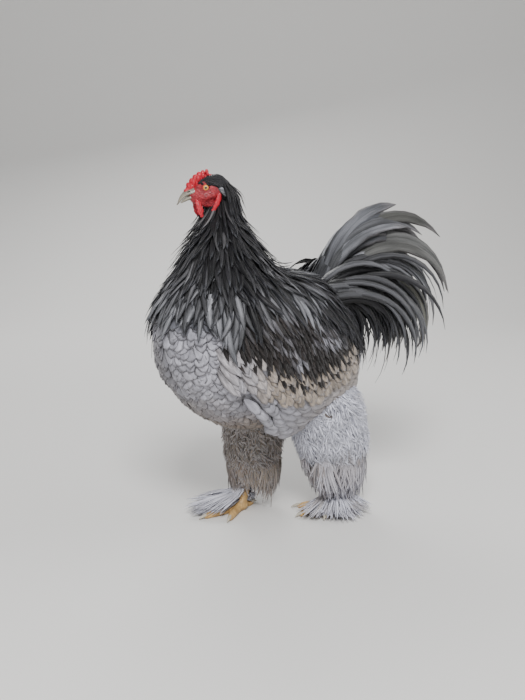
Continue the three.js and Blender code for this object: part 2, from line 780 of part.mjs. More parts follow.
// The toes and the ball of a foot, flat underneath on the floor.
function foot(leg, grow = 0) {
  const solids = [ball(leg.foot.clone().add(V(2, 0, 8)), 16 + grow, 14 + grow, 12 + grow, new THREE.Euler(), [8, 6])];
  TOES.forEach((toe) => {
    const way = toeWay(leg, toe);
    const radii = [1.2, 1, 0.95, 0.66].map((r) => r * toe.thick);
    const path = [0, 0.4, 0.75, 1].map((t, i) =>
      leg.foot.clone().addScaledVector(way, 4 + toe.long * t).setZ(radii[i] * 0.72),
    );
    solids.push(limb(path, radii, 6, 0.96, grow));
  });
  return unite(solids).trimByPlane([0, 0, 1], 0);
}

// One curved, blunt claw at a toe's end.
function claw(leg, toe, grow = 0) {
  const way = toeWay(leg, toe);
  const from = 4 + toe.long;
  const at = (far, z) => leg.foot.clone().addScaledVector(way, from + far).setZ(z);
  const path = [at(-4, 6.4), at(4, 6.8), at(11, 5), at(17, 2)];
  return limb(path, [3.6, 3.5, 2.4, 0.9], 6, 1, grow).trimByPlane([0, 0, 1], 0.05);
}

// The boot: vanes from the shank's outer side and the outer toes that fan out over the floor.
function boot(leg, grow = 0) {
  const random = makeRandom(SEED + 120 + leg.side);
  const solids = [];
  const ankle = leg.foot.clone().add(V(6, 0, 20));
  const pad = [leg.hock.clone().lerp(ankle, 0.15), leg.hock.clone().lerp(ankle, 0.6), ankle.clone(), leg.foot.clone().add(V(-26, leg.side * 10, 16))];
  pad.forEach((p, i) => p.add(V(2, leg.side * [9, 10, 11, 6][i], 0)));
  solids.push(limb(pad, [9, 9, 9, 6], 6, 1, grow));
  const tiers = [
    { count: 4, high: 60, reach: 78, tip: 16, wide: 34, from: 40, to: 150 },
    { count: 6, high: 24, reach: 98, tip: 5, wide: 34, from: 10, to: 140 },
  ];
  tiers.forEach((tier) => {
    for (let k = 0; k < tier.count; k += 1) {
      const heading = rad(lerp(tier.from, tier.to, k / (tier.count - 1)) + 8 * (random() - 0.5));
      const way = V(-Math.cos(heading), leg.side * Math.sin(heading), 0);
      const share = tier.high / HOCK_Z;
      const root = ankle.clone().lerp(leg.hock, share * 0.8).add(V(0, leg.side * 8, 0)).setZ(tier.high);
      if (tier.high < 30) root.add(V(-10, 0, -8));
      const reach = tier.reach * lerp(0.85, 1.1, random());
      const path = [];
      const outward = [];
      for (let i = 0; i <= 3; i += 1) {
        const t = i / 3;
        const z = lerp(root.z, tier.tip + 3 * random(), Math.pow(t, 0.8)) + 6 * Math.sin(Math.PI * t);
        path.push(root.clone().addScaledVector(way, reach * t).setZ(Math.max(z, 4.5)));
        outward.push(way.clone().multiplyScalar(0.5).add(V(0, 0, 1)));
      }
      solids.push(vane({ path, outward, width: tier.wide, thick: 2.2, grow, camber: 0.14, blunt: 0.42 }));
    }
  });
  return unite(solids).trimByPlane([0, 0, 1], 0.6);
}

// The sub-parts in order: each one is cut back by the gap from those before it that it touches.
const SIDES = [["left", -1], ["right", 1]];
const halved = (solid, side) => solid.trimByPlane([0, side, 0], GAP / 2);
const order = [];
for (const [name, side] of SIDES) order.push([`eye_${name}`, (grow) => inHead(eye(side, grow))]);
order.push(["head", (grow) => inHead(unite([skull(grow), lids(1, grow), lids(-1, grow)]))]);
order.push(["bill_upper", (grow) => inHead(billUpper(grow))]);
order.push(["bill_lower", (grow) => inHead(billLower(grow))]);
order.push(["comb", (grow) => inHead(comb(grow))]);
for (const [name, side] of SIDES) {
  order.push([`wattle_${name}`, (grow) => inHead(wattle(side, grow))]);
  order.push([`ear_lobe_${name}`, (grow) => inHead(earLobe(side, grow))]);
}
order.push(["torso", (grow) => trunkSolid(grow)]);
for (const [name, leg] of Object.entries(LEGS)) {
  order.push([`foot_${name}`, (grow) => foot(leg, grow)]);
  TOES.forEach((toe) => order.push([`claw_${name}_${toe.name}`, (grow) => claw(leg, toe, grow)]));
  order.push([`shank_${name}`, (grow) => shank(leg, grow)]);
}
order.push(["neck", (grow) => unite([neckCore(grow), ...hackleLocks(grow)])]);
for (const [name, side] of SIDES) order.push([`saddle_${name}`, (grow) => halved(saddle(side, grow), side)]);
for (const [name, side] of SIDES) order.push([`wing_${name}`, (grow) => wing(side, grow)]);
for (const [name, side] of SIDES) order.push([`sickles_${name}`, (grow) => halved(sickles(side, grow), side)]);
order.push(["tail", (grow) => mainTail(grow)]);
for (const [name, leg] of Object.entries(LEGS)) {
  order.push([`thigh_${name}`, (grow) => thigh(leg, grow)]);
  order.push([`boot_${name}`, (grow) => boot(leg, grow)]);
}

function boxesMeet(a, b) {
  return [0, 1, 2].every((k) => a.min[k] <= b.max[k] && b.min[k] <= a.max[k]);
}

const parts = new Map();
const grownBefore = [];
for (const [name, make] of order) {
  let solid = make(0);
  const box = solid.boundingBox();
  for (const grown of grownBefore)
    if (boxesMeet(box, grown.boundingBox())) solid = solid.subtract(grown);
  parts.set(name, solid);
  grownBefore.push(make(GAP));
}

const object = new THREE.Group();
for (const [name, solid] of parts) {
  const node = new THREE.Mesh(geometryOf(solid), new THREE.MeshStandardMaterial({ color: 0x777777 }));
  node.name = name;
  object.add(node);
}

// The origin is the middle of the bird's footprint on the floor.
const bounds = new THREE.Box3().setFromObject(object);
const centre = bounds.getCenter(new THREE.Vector3());
object.children.forEach((node) => node.geometry.translate(-centre.x, -centre.y, -bounds.min.z));
export default object;
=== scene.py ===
"""A life-size standing Brahma cock with blue-grey plumage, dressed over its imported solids.

Lengths inside the classes are millimetres in the bird's own frame: the breast faces -X, its left side
is -Y, +Z is up and it stands on z = 0. Meshes are written in metres, moved to the solids' frame.
"""

from __future__ import annotations

import logging
import math
from dataclasses import dataclass, field
from enum import Enum
from typing import Callable, Sequence

import bpy
import numpy as np
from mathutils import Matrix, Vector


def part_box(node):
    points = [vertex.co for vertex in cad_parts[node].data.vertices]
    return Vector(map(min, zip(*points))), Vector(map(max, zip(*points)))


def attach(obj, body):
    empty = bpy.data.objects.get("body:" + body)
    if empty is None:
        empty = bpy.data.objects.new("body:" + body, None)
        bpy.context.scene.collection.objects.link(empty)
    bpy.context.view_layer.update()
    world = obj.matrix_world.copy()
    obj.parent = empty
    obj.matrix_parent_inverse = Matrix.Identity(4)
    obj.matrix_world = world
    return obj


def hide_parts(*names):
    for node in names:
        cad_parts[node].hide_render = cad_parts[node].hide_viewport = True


log = logging.getLogger("brahma")
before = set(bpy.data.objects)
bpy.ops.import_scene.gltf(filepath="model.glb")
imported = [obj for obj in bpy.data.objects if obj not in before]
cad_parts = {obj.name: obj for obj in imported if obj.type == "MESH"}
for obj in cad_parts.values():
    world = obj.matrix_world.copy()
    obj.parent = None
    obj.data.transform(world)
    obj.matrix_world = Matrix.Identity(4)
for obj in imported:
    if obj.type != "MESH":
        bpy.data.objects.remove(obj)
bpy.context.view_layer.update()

Array = np.ndarray
Level = Callable[[Array], Array]
Material = bpy.types.Material
Socket = bpy.types.NodeSocket

BREAST_X = -273.0
RUMP_X = 146.0
HOCK_Z = 128.0
STRIDE = 150.0
STANCE = 104.0
HEAD_AT = (-176.0, 12.0, 632.0)
HEAD_TURN = 22.0
HEAD_NOD = 9.0
TUFT_PATCH = 0.003

# Places across and above a feather's middle, for sections of three, four and eight points.
SECTIONS = {
    3: np.array([[-1, 0, 1], [-0.3, 1, -0.3]]),
    4: np.array([[-1, 0, 1, 0], [0, 1, 0, -1]]),
    8: np.array([[-1, -0.55, 0, 0.55, 1, 0.55, 0, -0.55], [0, 1, 1.3, 1, 0, -1, -1, -1]]),
}


def linear(red: float, green: float, blue: float) -> Array:
    """Turn a display colour into linear light.

    Args:
        red: Red from 0 to 255.
        green: Green from 0 to 255.
        blue: Blue from 0 to 255.

    Returns:
        Three linear values.
    """
    value = np.array([red, green, blue]) / 255.0
    return np.where(value <= 0.04045, value / 12.92, ((value + 0.055) / 1.055) ** 2.4)


class Shade(Enum):
    """Named colours of the plumage and the bare parts."""

    INK = (20, 19, 22)
    SLATE = (72, 74, 81)
    PEWTER = (126, 127, 132)
    LAVENDER = (160, 159, 168)
    SILVER = (205, 206, 219)
    BROWN = (96, 82, 70)
    TAN = (152, 140, 128)
    UMBER = (52, 45, 43)
    OLIVE = (118, 116, 98)
    SMOKE = (110, 106, 108)

    @property
    def light(self) -> Array:
        """The colour in linear light."""
        return linear(*self.value)


def unit(vectors: Array) -> Array:
    """Scale vectors along the last axis to length one."""
    return vectors / np.maximum(np.linalg.norm(vectors, axis=-1, keepdims=True), 1e-9)


def lerp(a: float, b: float, t: float) -> float:
    """Mix two values, t from 0 to 1."""
    return a + (b - a) * t


def smooth(low: float, high: float, value: Array) -> Array:
    """A soft step from 0 at low to 1 at high."""
    t = np.clip((value - low) / (high - low), 0.0, 1.0)
    return t * t * (3.0 - 2.0 * t)


def tint(tone: Array, other: Array, share: Array) -> Array:
    """Mix some of another colour into a tone."""
    return tone * (1 - share) + other * share


def vary(rng: np.random.Generator, by: float, shape: int | tuple[int, int]) -> Array:
    """Factors near one that spread by some share."""
    return 1 + by * rng.standard_normal(shape)


def chart(p: Array, low: Sequence[float], size: Sequence[float]) -> Array:
    """Places on a bake map, straight from the coordinates along and up."""
    return np.clip((p[:, [0, 2]] - np.asarray(low)) / np.asarray(size), 0.01, 0.99)


def depth(off: Array, share: Array, least: float = 0.05) -> Array:
    """Rough distance from an oval, from offsets to its middle and the shares of its radius that they reach."""
    return np.linalg.norm(off, axis=1) * (1 - 1 / np.maximum(share, least))


def tube(rings: int, sides: int) -> Array:
    """Corners of the faces between rings of points, by ring and side.

    Args:
        rings: How many rings of points.
        sides: Points in each ring.

    Returns:
        Point numbers, four for each face.
    """
    ring = (np.arange(rings - 1) * sides)[:, None]
    k = np.arange(sides)[None]
    after = (k + 1) % sides
    return np.stack([ring + k, ring + after, ring + sides + after, ring + sides + k], -1)


class Stations:
    """Values that run smoothly through a few stations of [key, value, value, ...]."""

    def __init__(self, rows: Sequence[Sequence[float]]) -> None:
        """Sample the rows finely once.

        Args:
            rows: Stations in rising order of their key.
        """
        table = np.asarray(rows, float)
        keys, values = table[:, 0], table[:, 1:]
        slopes = np.zeros_like(values)
        for i in range(len(keys)):
            a, b = max(0, i - 1), min(len(keys) - 1, i + 1)
            slopes[i] = (values[b] - values[a]) / (keys[b] - keys[a])
        self.keys = np.linspace(keys[0], keys[-1], 500)
        index = np.clip(np.searchsorted(keys, self.keys, side="right") - 1, 0, len(keys) - 2)
        span = (keys[index + 1] - keys[index])[:, None]
        t = ((self.keys - keys[index])[:, None]) / span
        t2, t3 = t * t, t * t * t
        self.values = (
            (2 * t3 - 3 * t2 + 1) * values[index]
            + (t3 - 2 * t2 + t) * span * slopes[index]
            + (3 * t2 - 2 * t3) * values[index + 1]
            + (t3 - t2) * span * slopes[index + 1]
        )

    def at(self, key: Array) -> list[Array]:
        """Read every value at some keys.

        Args:
            key: Where to read, held inside the stations.

        Returns:
            One array for each value.
        """
        return [np.interp(key, self.keys, column) for column in self.values.T]


@dataclass(frozen=True)
class Leg:
    """Where one leg stands."""

    name: str
    side: int
    foot: tuple[float, float, float]
    hock: tuple[float, float, float]
    hip: tuple[float, float, float]
    girth: Stations

    @property
    def low(self) -> Array:
        """The lower end of the fluffy thigh."""
        return np.array(self.hock) + np.array([-10.0, -2.0 * self.side, -58.0])


@dataclass
class Body:
    """The flesh of the bird as one smooth field, in millimetres from its surface."""

    coat: float = 9.0
    trunk: Stations = field(init=False)
    neck: Stations = field(init=False)
    legs: list[Leg] = field(init=False)

    def __post_init__(self) -> None:
        """Set the stations of the trunk, the neck and the legs."""
        self.trunk = Stations([
            [BREAST_X, 366, 8, 9], [-268, 366, 34, 38], [-255, 365, 68, 74], [-232, 361, 100, 108],
            [-200, 354, 122, 132], [-150, 344, 134, 147], [-90, 338, 136, 147], [-30, 336, 131, 138],
            [30, 330, 120, 130], [80, 318, 100, 116], [116, 304, 74, 92], [136, 294, 44, 56],
            [RUMP_X, 290, 10, 14],
        ])
        self.neck = Stations([
            [400, -150, 0, 104, 98], [440, -150, 0, 98, 92], [487, -150, 2, 88, 80],
            [523, -150, 5, 74, 66], [548, -150, 7, 58, 52], [570, -150, 9, 45, 41],
            [596, -152, 11, 34, 31], [622, -156, 12, 27, 26],
        ])
        left = Stations([[-0.28, 20, 16], [-0.16, 56, 42], [0, 74, 56], [0.3, 78, 60], [0.6, 72, 58],
                         [0.85, 54, 46], [1, 28, 26]])
        right = Stations([[-0.28, 20, 16], [-0.16, 50, 40], [0, 64, 52], [0.3, 64, 52], [0.6, 60, 50],
                          [0.85, 48, 42], [1, 28, 26]])
        self.legs = [
            Leg("right", 1, (-78, STANCE / 2, 0), (-38, 50, HOCK_Z), (-30, 62, 232), right),
            Leg("left", -1, (-78 + STRIDE, -STANCE / 2, 0), (88, -62, HOCK_Z), (34, -74, 232), left),
        ]

    def trunk_field(self, p: Array) -> Array:
        """Distance from the trunk's surface.

        Args:
            p: Points, one a row.

        Returns:
            Millimetres, negative inside.
        """
        x = np.clip(p[:, 0], BREAST_X + 30, RUMP_X - 40)
        middle, wide, high = self.trunk.at(x)
        off = p - np.stack([x, 0 * x, middle], 1)
        y, z = np.abs(off[:, 1]) / wide, np.abs(off[:, 2]) / high
        return depth(off, (y ** 2.3 + z ** 2.3) ** (1 / 2.3) + (off[:, 0] / 46) ** 2)

    def neck_field(self, p: Array) -> Array:
        """Distance from the neck's surface.

        Args:
            p: Points, one a row.

        Returns:
            Millimetres, negative inside.
        """
        z = np.clip(p[:, 2], 402, 618)
        cx, cy, rx, ry = self.neck.at(z)
        off = p - np.stack([cx, cy, z], 1)
        return depth(off, np.hypot(off[:, 0] / rx, off[:, 1] / ry) + (off[:, 2] / 26) ** 2) + 4.0

    def thigh_field(self, p: Array, leg: Leg) -> Array:
        """Distance from a thigh's surface.

        Args:
            p: Points, one a row.
            leg: Whose thigh.

        Returns:
            Millimetres, negative inside.
        """
        top, low = np.array(leg.hip), leg.low
        t = np.clip((top[2] - p[:, 2]) / (top[2] - low[2]), -0.2, 0.96)
        rx, ry = leg.girth.at(t)
        middle = top + (low - top) * t[:, None]
        off = p - middle
        return depth(off, np.hypot(off[:, 0] / rx, off[:, 1] / ry) + (off[:, 2] / 24) ** 2)

    def tail_field(self, p: Array) -> Array:
        """Distance from the root of the tail.

        Args:
            p: Points, one a row.

        Returns:
            Millimetres, negative inside.
        """
        turn = math.radians(-38)
        off = p - np.array([92.0, 0.0, 398.0])
        x = off[:, 0] * math.cos(turn) - off[:, 2] * math.sin(turn)
        z = off[:, 0] * math.sin(turn) + off[:, 2] * math.cos(turn)
        return depth(off, np.sqrt((x / 58) ** 2 + (off[:, 1] / 40) ** 2 + (z / 44) ** 2))

    def field(self, p: Array) -> Array:
        """Signed distance of points from the whole body's surface.

        Args:
            p: Points, one a row.

        Returns:
            Millimetres, negative inside.
        """
        level = self.blend(self.trunk_field(p), self.neck_field(p), 34.0)
        level = self.blend(level, self.tail_field(p), 22.0)
        for leg in self.legs:
            level = self.blend(level, self.thigh_field(p, leg), 16.0)
        return level

    @staticmethod
    def blend(a: Array, b: Array, width: float) -> Array:
        """A rounded union of two fields."""
        h = np.clip(0.5 + 0.5 * (b - a) / width, 0.0, 1.0)
        return b + (a - b) * h - width * h * (1 - h)

    def slope(self, p: Array) -> Array:
        """The field's gradient at points.

        Args:
            p: Points, one a row.

        Returns:
            One vector for each point.
        """
        step = 1.2
        parts = [(self.field(p + axis) - self.field(p - axis)) / (2 * step) for axis in np.eye(3) * step]
        return np.stack(parts, axis=1)

    def settle(self, p: Array, level: Array | float, rounds: int = 3, push_only: bool = False) -> Array:
        """Move points along the gradient to a level of the field.

        Args:
            p: Points, one a row.
            level: Wanted distance from the surface.
            rounds: Newton steps.
            push_only: Leave points that are further out where they are.

        Returns:
            The moved points.
        """
        q = p.copy()
        for _ in range(rounds):
            gradient = self.slope(q)
            short = level - self.field(q)
            if push_only:
                short = np.maximum(short, 0.0)
            size = np.maximum((gradient ** 2).sum(1), 0.15)
            q += gradient * (np.clip(short / size, -14, 14))[:, None]
        return q


class FeatherShape(Enum):
    """Outlines of feathers: places along the vane and the width there."""

    BODY = ((0, 0.1, 0.3, 0.55, 0.75, 0.88, 0.96, 1), (0.25, 0.5, 0.86, 1, 0.96, 0.76, 0.46, 0.08))
    HACKLE = ((0, 0.12, 0.35, 0.6, 0.82, 0.94, 1), (0.4, 0.8, 1, 0.92, 0.6, 0.3, 0.05))
    VANE = ((0, 0.1, 0.3, 0.7, 0.86, 0.95, 1), (0.3, 0.6, 0.95, 1, 0.88, 0.56, 0.1))
    SICKLE = ((0, 0.1, 0.3, 0.6, 0.8, 0.93, 1), (0.35, 0.72, 1, 1, 0.82, 0.46, 0.06))
    WISP = ((0, 0.2, 0.5, 0.8, 0.93, 1), (0.5, 1, 0.95, 0.7, 0.4, 0.06))

    def width(self, t: Array) -> Array:
        """Share of the full width at places along the vane."""
        return np.interp(t, self.value[0], self.value[1])


class Weaver:
    """Writes meshes in the solids' frame."""

    def __init__(self) -> None:
        """Find how far the solids' frame is from the bird's own."""
        low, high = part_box("torso")
        self.shift = np.array([low.x - BREAST_X / 1000, (low.y + high.y) / 2, 0.0])

    def metres(self, p: Array) -> Array:
        """Points of the bird's own frame in the solids' frame."""
        return p / 1000.0 + self.shift

    def write(self, name: str, points: Array, faces: Sequence[Array], slot: str,
              material: Material, nodes: Sequence[str] = (), vane: Array | None = None,
              tone: Array | None = None, bake: Array | None = None) -> None:
        """Make one piece from arrays.

        Args:
            name: The piece's name.
            points: Its points in millimetres.
            faces: Arrays of faces, each with one number of corners.
            slot: The record's material slot; not used.
            material: Its material.
            nodes: The solids that it stands for.
            vane: Place across, place along and chance at each point.
            tone: Colour at each point.
            bake: Place on the bake map of each point.
        """
        mesh = bpy.data.meshes.new(name)
        corners = np.concatenate([f.reshape(-1) for f in faces]).astype(np.int32)
        totals = np.concatenate([np.full(len(f), f.shape[1]) for f in faces]).astype(np.int32)
        starts = np.concatenate([[0], np.cumsum(totals)[:-1]]).astype(np.int32)
        mesh.vertices.add(len(points))
        mesh.vertices.foreach_set("co", self.metres(points).astype(np.float32).reshape(-1))
        mesh.loops.add(len(corners))
        mesh.loops.foreach_set("vertex_index", corners)
        mesh.polygons.add(len(totals))
        mesh.polygons.foreach_set("loop_start", starts)
        mesh.polygons.foreach_set("loop_total", totals)
        mesh.polygons.foreach_set("use_smooth", np.ones(len(totals), bool))
        mesh.update(calc_edges=True)
        rgba = None if tone is None else np.concatenate([tone, np.ones((len(tone), 1))], axis=1)
        for label, kind, key, values in (("Vane", "VECTOR", "vector", vane), ("Tone", "COLOR", "color", rgba)):
            if values is not None:
                layer = mesh.attributes.new(label, f"FLOAT_{kind}", "POINT")
                layer.data.foreach_set(key, values.astype(np.float32).reshape(-1))
        if bake is not None:
            layer = mesh.uv_layers.new(name="OFBake")
            layer.data.foreach_set("uv", bake[corners].astype(np.float32).reshape(-1))
        mesh.materials.append(material)
        mesh.validate()
        piece = bpy.data.objects.new(name, mesh)
        bpy.context.scene.collection.objects.link(piece)
        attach(piece, "root")
        if nodes:
            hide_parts(*nodes)
        log.info("%s: %d triangles", name, int((totals - 2).sum()))


@dataclass
class Tract:
    """A group of feathers of one cut, collected before they become one mesh."""

    shape: FeatherShape
    thick: float = 0.5
    camber: float = 0.18
    sides: int = 4
    ragged: float = 0.05
    rows: list[tuple[Array, ...]] = field(default_factory=list)

    def add(self, paths: Array, ups: Array, widths: Array, tones: Array, places: Array) -> None:
        """Collect feathers.

        Args:
            paths: Points along each feather.
            ups: The way each upper face looks at those points.
            widths: Full width of each.
            tones: Colour of each.
            places: Root of each on the bake map.
        """
        self.rows.append((paths, ups, widths, tones, places))

    def weave(self, weaver: Weaver, name: str, slot: str, material: Material, nodes: Sequence[str] = (),
              seed: int = 1) -> None:
        """Turn all the feathers into one closed mesh piece.

        Args:
            weaver: Writes the mesh.
            name: The piece's name.
            slot: The record's material slot.
            material: The feathers' material.
            nodes: The solids that the piece stands for.
            seed: Start of the chance values.
        """
        rng = np.random.default_rng(seed)
        paths, ups, widths, tones, places = (np.concatenate(part) for part in zip(*self.rows))
        count, rings = paths.shape[:2]
        sides, (across, lift) = self.sides, SECTIONS[self.sides]
        t = np.linspace(0, 1, rings)
        along = unit(np.gradient(paths, axis=1))
        side = unit(np.cross(along, ups))
        up = unit(np.cross(side, along))
        half = 0.5 * widths[:, None] * self.shape.width(t)[None, :]
        half = half * (1 + self.ragged * rng.standard_normal((count, rings)))
        deep = 0.5 * self.thick * (1 - 0.5 * t)
        out = half[:, :, None] * across
        rise = deep[None, :, None] * lift - self.camber * half[:, :, None] * across ** 2
        points = paths[:, :, None] + side[:, :, None] * out[..., None] + up[:, :, None] * rise[..., None]
        vane = np.zeros((count, rings, sides, 3))
        vane[..., 0] = across
        vane[..., 1] = t[None, :, None]
        vane[..., 2] = rng.random(count)[:, None, None]
        tone = np.broadcast_to(tones[:, None, None], (count, rings, sides, 3))
        patch = np.stack([vane[..., 0] * 0.5, vane[..., 1] - 0.5], axis=-1) * TUFT_PATCH
        bake = np.clip(places[:, None, None] + patch, 0.0005, 0.9995)
        base = (np.arange(count) * rings * sides)[:, None, None]
        quads = (base[..., None] + tube(rings, sides)[None]).reshape(-1, 4)
        ends = np.arange(sides)
        first = base[:, 0] + ends[::-1][None, :]
        last = base[:, 0] + (rings - 1) * sides + ends[None, :]
        faces = [quads[:, ::-1], first[:, ::-1], last[:, ::-1]]
        weaver.write(name, points.reshape(-1, 3), faces, slot, material, nodes,
                     vane.reshape(-1, 3), tone.reshape(-1, 3), bake.reshape(-1, 2))


class Signal:
    """A shader value that takes part in sums."""

    def __init__(self, net: Net, socket: Socket) -> None:
        """Hold one socket of a net."""
        self.net, self.socket = net, socket

    def __add__(self, other: object) -> Signal:
        """Add a value."""
        return self.net.math("ADD", self, other)

    def __sub__(self, other: object) -> Signal:
        """Take a value away."""
        return self.net.math("SUBTRACT", self, other)

    def __rsub__(self, other: object) -> Signal:
        """Take this from a value."""
        return self.net.math("SUBTRACT", other, self)

    def __mul__(self, other: object) -> Signal:
        """Multiply by a value."""
        return self.net.math("MULTIPLY", self, other)

    __radd__ = __add__


class Net:
    """A short way to write shader nodes."""

    def __init__(self, tree: bpy.types.NodeTree) -> None:
        """Work on a node tree."""
        self.tree = tree

    def node(self, kind: str, inputs: dict[object, object] | None = None, **values: object) -> bpy.types.Node:
        """Add a node.

        Args:
            kind: Its type, without the leading ShaderNode.
            inputs: Value or signal for inputs, by name or number.
            values: Its properties.

        Returns:
            The node.
        """
        made = self.tree.nodes.new(kind if kind.startswith("Node") else f"ShaderNode{kind}")
        for key, value in values.items():
            setattr(made, key, value)
        self.fill(made, inputs or {})
        return made

    def fill(self, node: bpy.types.Node, inputs: dict[object, object]) -> None:
        """Link or set some of a node's inputs."""
        for key, value in inputs.items():
            socket = value.socket if isinstance(value, Signal) else value
            if isinstance(socket, Socket):
                self.tree.links.new(socket, node.inputs[key])
            elif socket is not None:
                node.inputs[key].default_value = socket

    def out(self, node: bpy.types.Node, key: object = 0) -> Signal:
        """One output of a node."""
        return Signal(self, node.outputs[key])

    def math(self, operation: str, a: object, b: object = None, c: object = None) -> Signal:
        """Add a math node."""
        return self.out(self.node("Math", {0: a, 1: b, 2: c}, operation=operation))

    def step(self, value: object, low: float, high: float) -> Signal:
        """A soft step from 0 at low to 1 at high."""
        return self.out(self.node("MapRange", {0: value, 1: low, 2: high, 3: 0.0, 4: 1.0},
                                  interpolation_type="SMOOTHSTEP"))

    def mix(self, share: object, a: object, b: object) -> Signal:
        """Mix two colours."""
        return self.out(self.node("Mix", {0: share, 6: a, 7: b}, data_type="RGBA"), 2)

    def noise(self, vector: object, scale: object, detail: float = 2.0, rough: float = 0.5) -> Signal:
        """A noise value about one half."""
        return self.out(self.node("TexNoise", {"Vector": vector, "Scale": scale, "Detail": detail,
                                               "Roughness": rough}))

    def vector(self, x: object, y: object, z: object) -> Signal:
        """Join three values."""
        return self.out(self.node("CombineXYZ", {0: x, 1: y, 2: z}))

    def split(self, vector: object) -> list[Signal]:
        """The three values of a vector."""
        made = self.node("SeparateXYZ", {0: vector})
        return [self.out(made, index) for index in range(3)]

    def scale(self, colour: Signal, factor: Signal) -> Signal:
        """A colour made lighter or darker."""
        return self.out(self.node("VectorMath", {0: colour, "Scale": factor}, operation="SCALE"))

    def attribute(self, name: str, output: str) -> Signal:
        """A value kept on the mesh."""
        return self.out(self.node("Attribute", attribute_name=name), output)

    def bump(self, height: Signal, strength: float, distance: float) -> Signal:
        """A bent normal."""
        return self.out(self.node("Bump", {"Height": height, "Strength": strength, "Distance": distance}))


def blank(name: str) -> tuple[Material, Net, bpy.types.Node]:
    """A new material with its net and its shader.

    Args:
        name: The material's name.

    Returns:
        The material, its net and its shader.
    """
    material = bpy.data.materials.new(name)
    material.use_nodes = True
    return material, Net(material.node_tree), material.node_tree.nodes["Principled BSDF"]


class Effects:
    """Shader groups that several finishes use, each built once."""

    def __init__(self) -> None:
        """Build the groups."""
        self.marks = self.vane_marks()
        self.skin = self.skin_grain()

    def coat(self, key: str) -> Material:
        """The material of one kind of feather."""
        return FEATHERS[key].make(self)

    def bare(self, key: str) -> Material:
        """The material of one bare part."""
        return SKINS[key].make(self)

    @staticmethod
    def group(name: str, inputs: Sequence[tuple[str, str, object]],
              outputs: Sequence[tuple[str, str]]) -> tuple[bpy.types.NodeTree, Net, dict[str, Signal]]:
        """Make an empty group with named sockets.

        Args:
            name: The group's name.
            inputs: Name, kind and value of each input.
            outputs: Name and kind of each output.

        Returns:
            The node group, its net and its inputs by name.
        """
        tree = bpy.data.node_groups.new(name, "ShaderNodeTree")
        for label, kind, value in inputs:
            socket = tree.interface.new_socket(name=label, in_out="INPUT", socket_type=f"NodeSocket{kind}")
            socket.default_value = value
        for label, kind in outputs:
            tree.interface.new_socket(name=label, in_out="OUTPUT", socket_type=f"NodeSocket{kind}")
        net = Net(tree)
        inside = net.node("NodeGroupInput")
        return tree, net, {label: net.out(inside, label) for label, _, _ in inputs}

    def vane_marks(self) -> bpy.types.NodeTree:
        """Barbs, shaft and laced edge of a feather, over its own tone.

        Returns:
            The node group.
        """
        tree, net, inside = self.group(
            "Vane marks",
            [("Tone", "Color", (0.5, 0.5, 0.5, 1)), ("Vane", "Vector", (0, 0, 0)),
             ("Lace", "Color", (0, 0, 0, 1)), ("Lace amount", "Float", 0.5), ("Lace start", "Float", 0.7),
             ("Shaft", "Float", 0.3),
             ("Barbs", "Float", 60.0), ("Slant", "Float", 0.2), ("Contrast", "Float", 0.4),
             ("Root shade", "Float", 0.5), ("Variety", "Float", 0.2)],
            [("Color", "Color"), ("Height", "Float")],
        )
        aside, place, chance = net.split(inside["Vane"])
        across = net.math("ABSOLUTE", aside)
        slanted = place - across * inside["Slant"]
        barb_at = net.vector(aside * 1.5, slanted * inside["Barbs"], chance * 57.0)
        barb = net.step(net.noise(barb_at, 1.0, 3.0, 0.6), 0.3, 0.7)
        cloud = net.step(net.noise(net.vector(aside * 1.2, place * 3.0, chance * 91.0), 1.0), 0.3, 0.7)
        edge = net.math("MAXIMUM", across * net.step(place, 0.15, 0.6), net.step(place, 0.55, 1.0))
        past = edge + (barb - 0.5) * 0.25 - inside["Lace start"]
        laced = net.math("MINIMUM", net.math("SMOOTH_MAX", 0.0, past, 0.02) * 5.0, 1.0) * inside["Lace amount"]
        colour = net.mix(laced, inside["Tone"], inside["Lace"])
        light = (barb - 0.5) * inside["Contrast"] + 1.0
        patchy = (cloud - 0.5) * inside["Contrast"] + 1.0
        each = (chance - 0.5) * inside["Variety"] + 1.0
        # Darker towards the root: partly painted shade where the feathers above overlap it, partly the greyer
        # downy base.
        root = 1.0 - inside["Root shade"] * (1.0 - net.step(place, 0.05, 0.55))
        shaft = 1.0 - inside["Shaft"] * (1.0 - net.step(across, 0.0, 0.12))
        net.node("NodeGroupOutput", {"Color": net.scale(colour, light * patchy * (each * root) * shaft),
                                     "Height": barb - net.step(across, 0.0, 0.1) * 0.4})
        return tree

    def skin_grain(self) -> bpy.types.NodeTree:
        """Fine wrinkles and mottling of bare skin, horn or scales.

        Returns:
            The node group.
        """
        tree, net, inside = self.group(
            "Skin grain",
            [("Base", "Color", (0.5, 0.1, 0.1, 1)), ("Second", "Color", (0.4, 0.05, 0.05, 1)),
             ("Scale", "Float", 400.0), ("Mottle", "Float", 0.5)],
            [("Color", "Color"), ("Height", "Float"), ("Roughness", "Float")],
        )
        place = net.out(net.node("TexCoord"), "Object")
        patch = net.noise(place, inside["Scale"] * 0.35, 3.0)
        cells = net.out(net.node("TexVoronoi", {"Vector": place, "Scale": inside["Scale"]}, feature="F1"))
        colour = net.mix(net.step(patch, 0.35, 0.68) * inside["Mottle"], inside["Base"], inside["Second"])
        net.node("NodeGroupOutput", {"Color": net.scale(colour, 1.12 - net.step(cells, 0.0, 0.9) * 0.28),
                                     "Height": 1.0 - cells, "Roughness": patch * 0.25 + 0.42})
        return tree


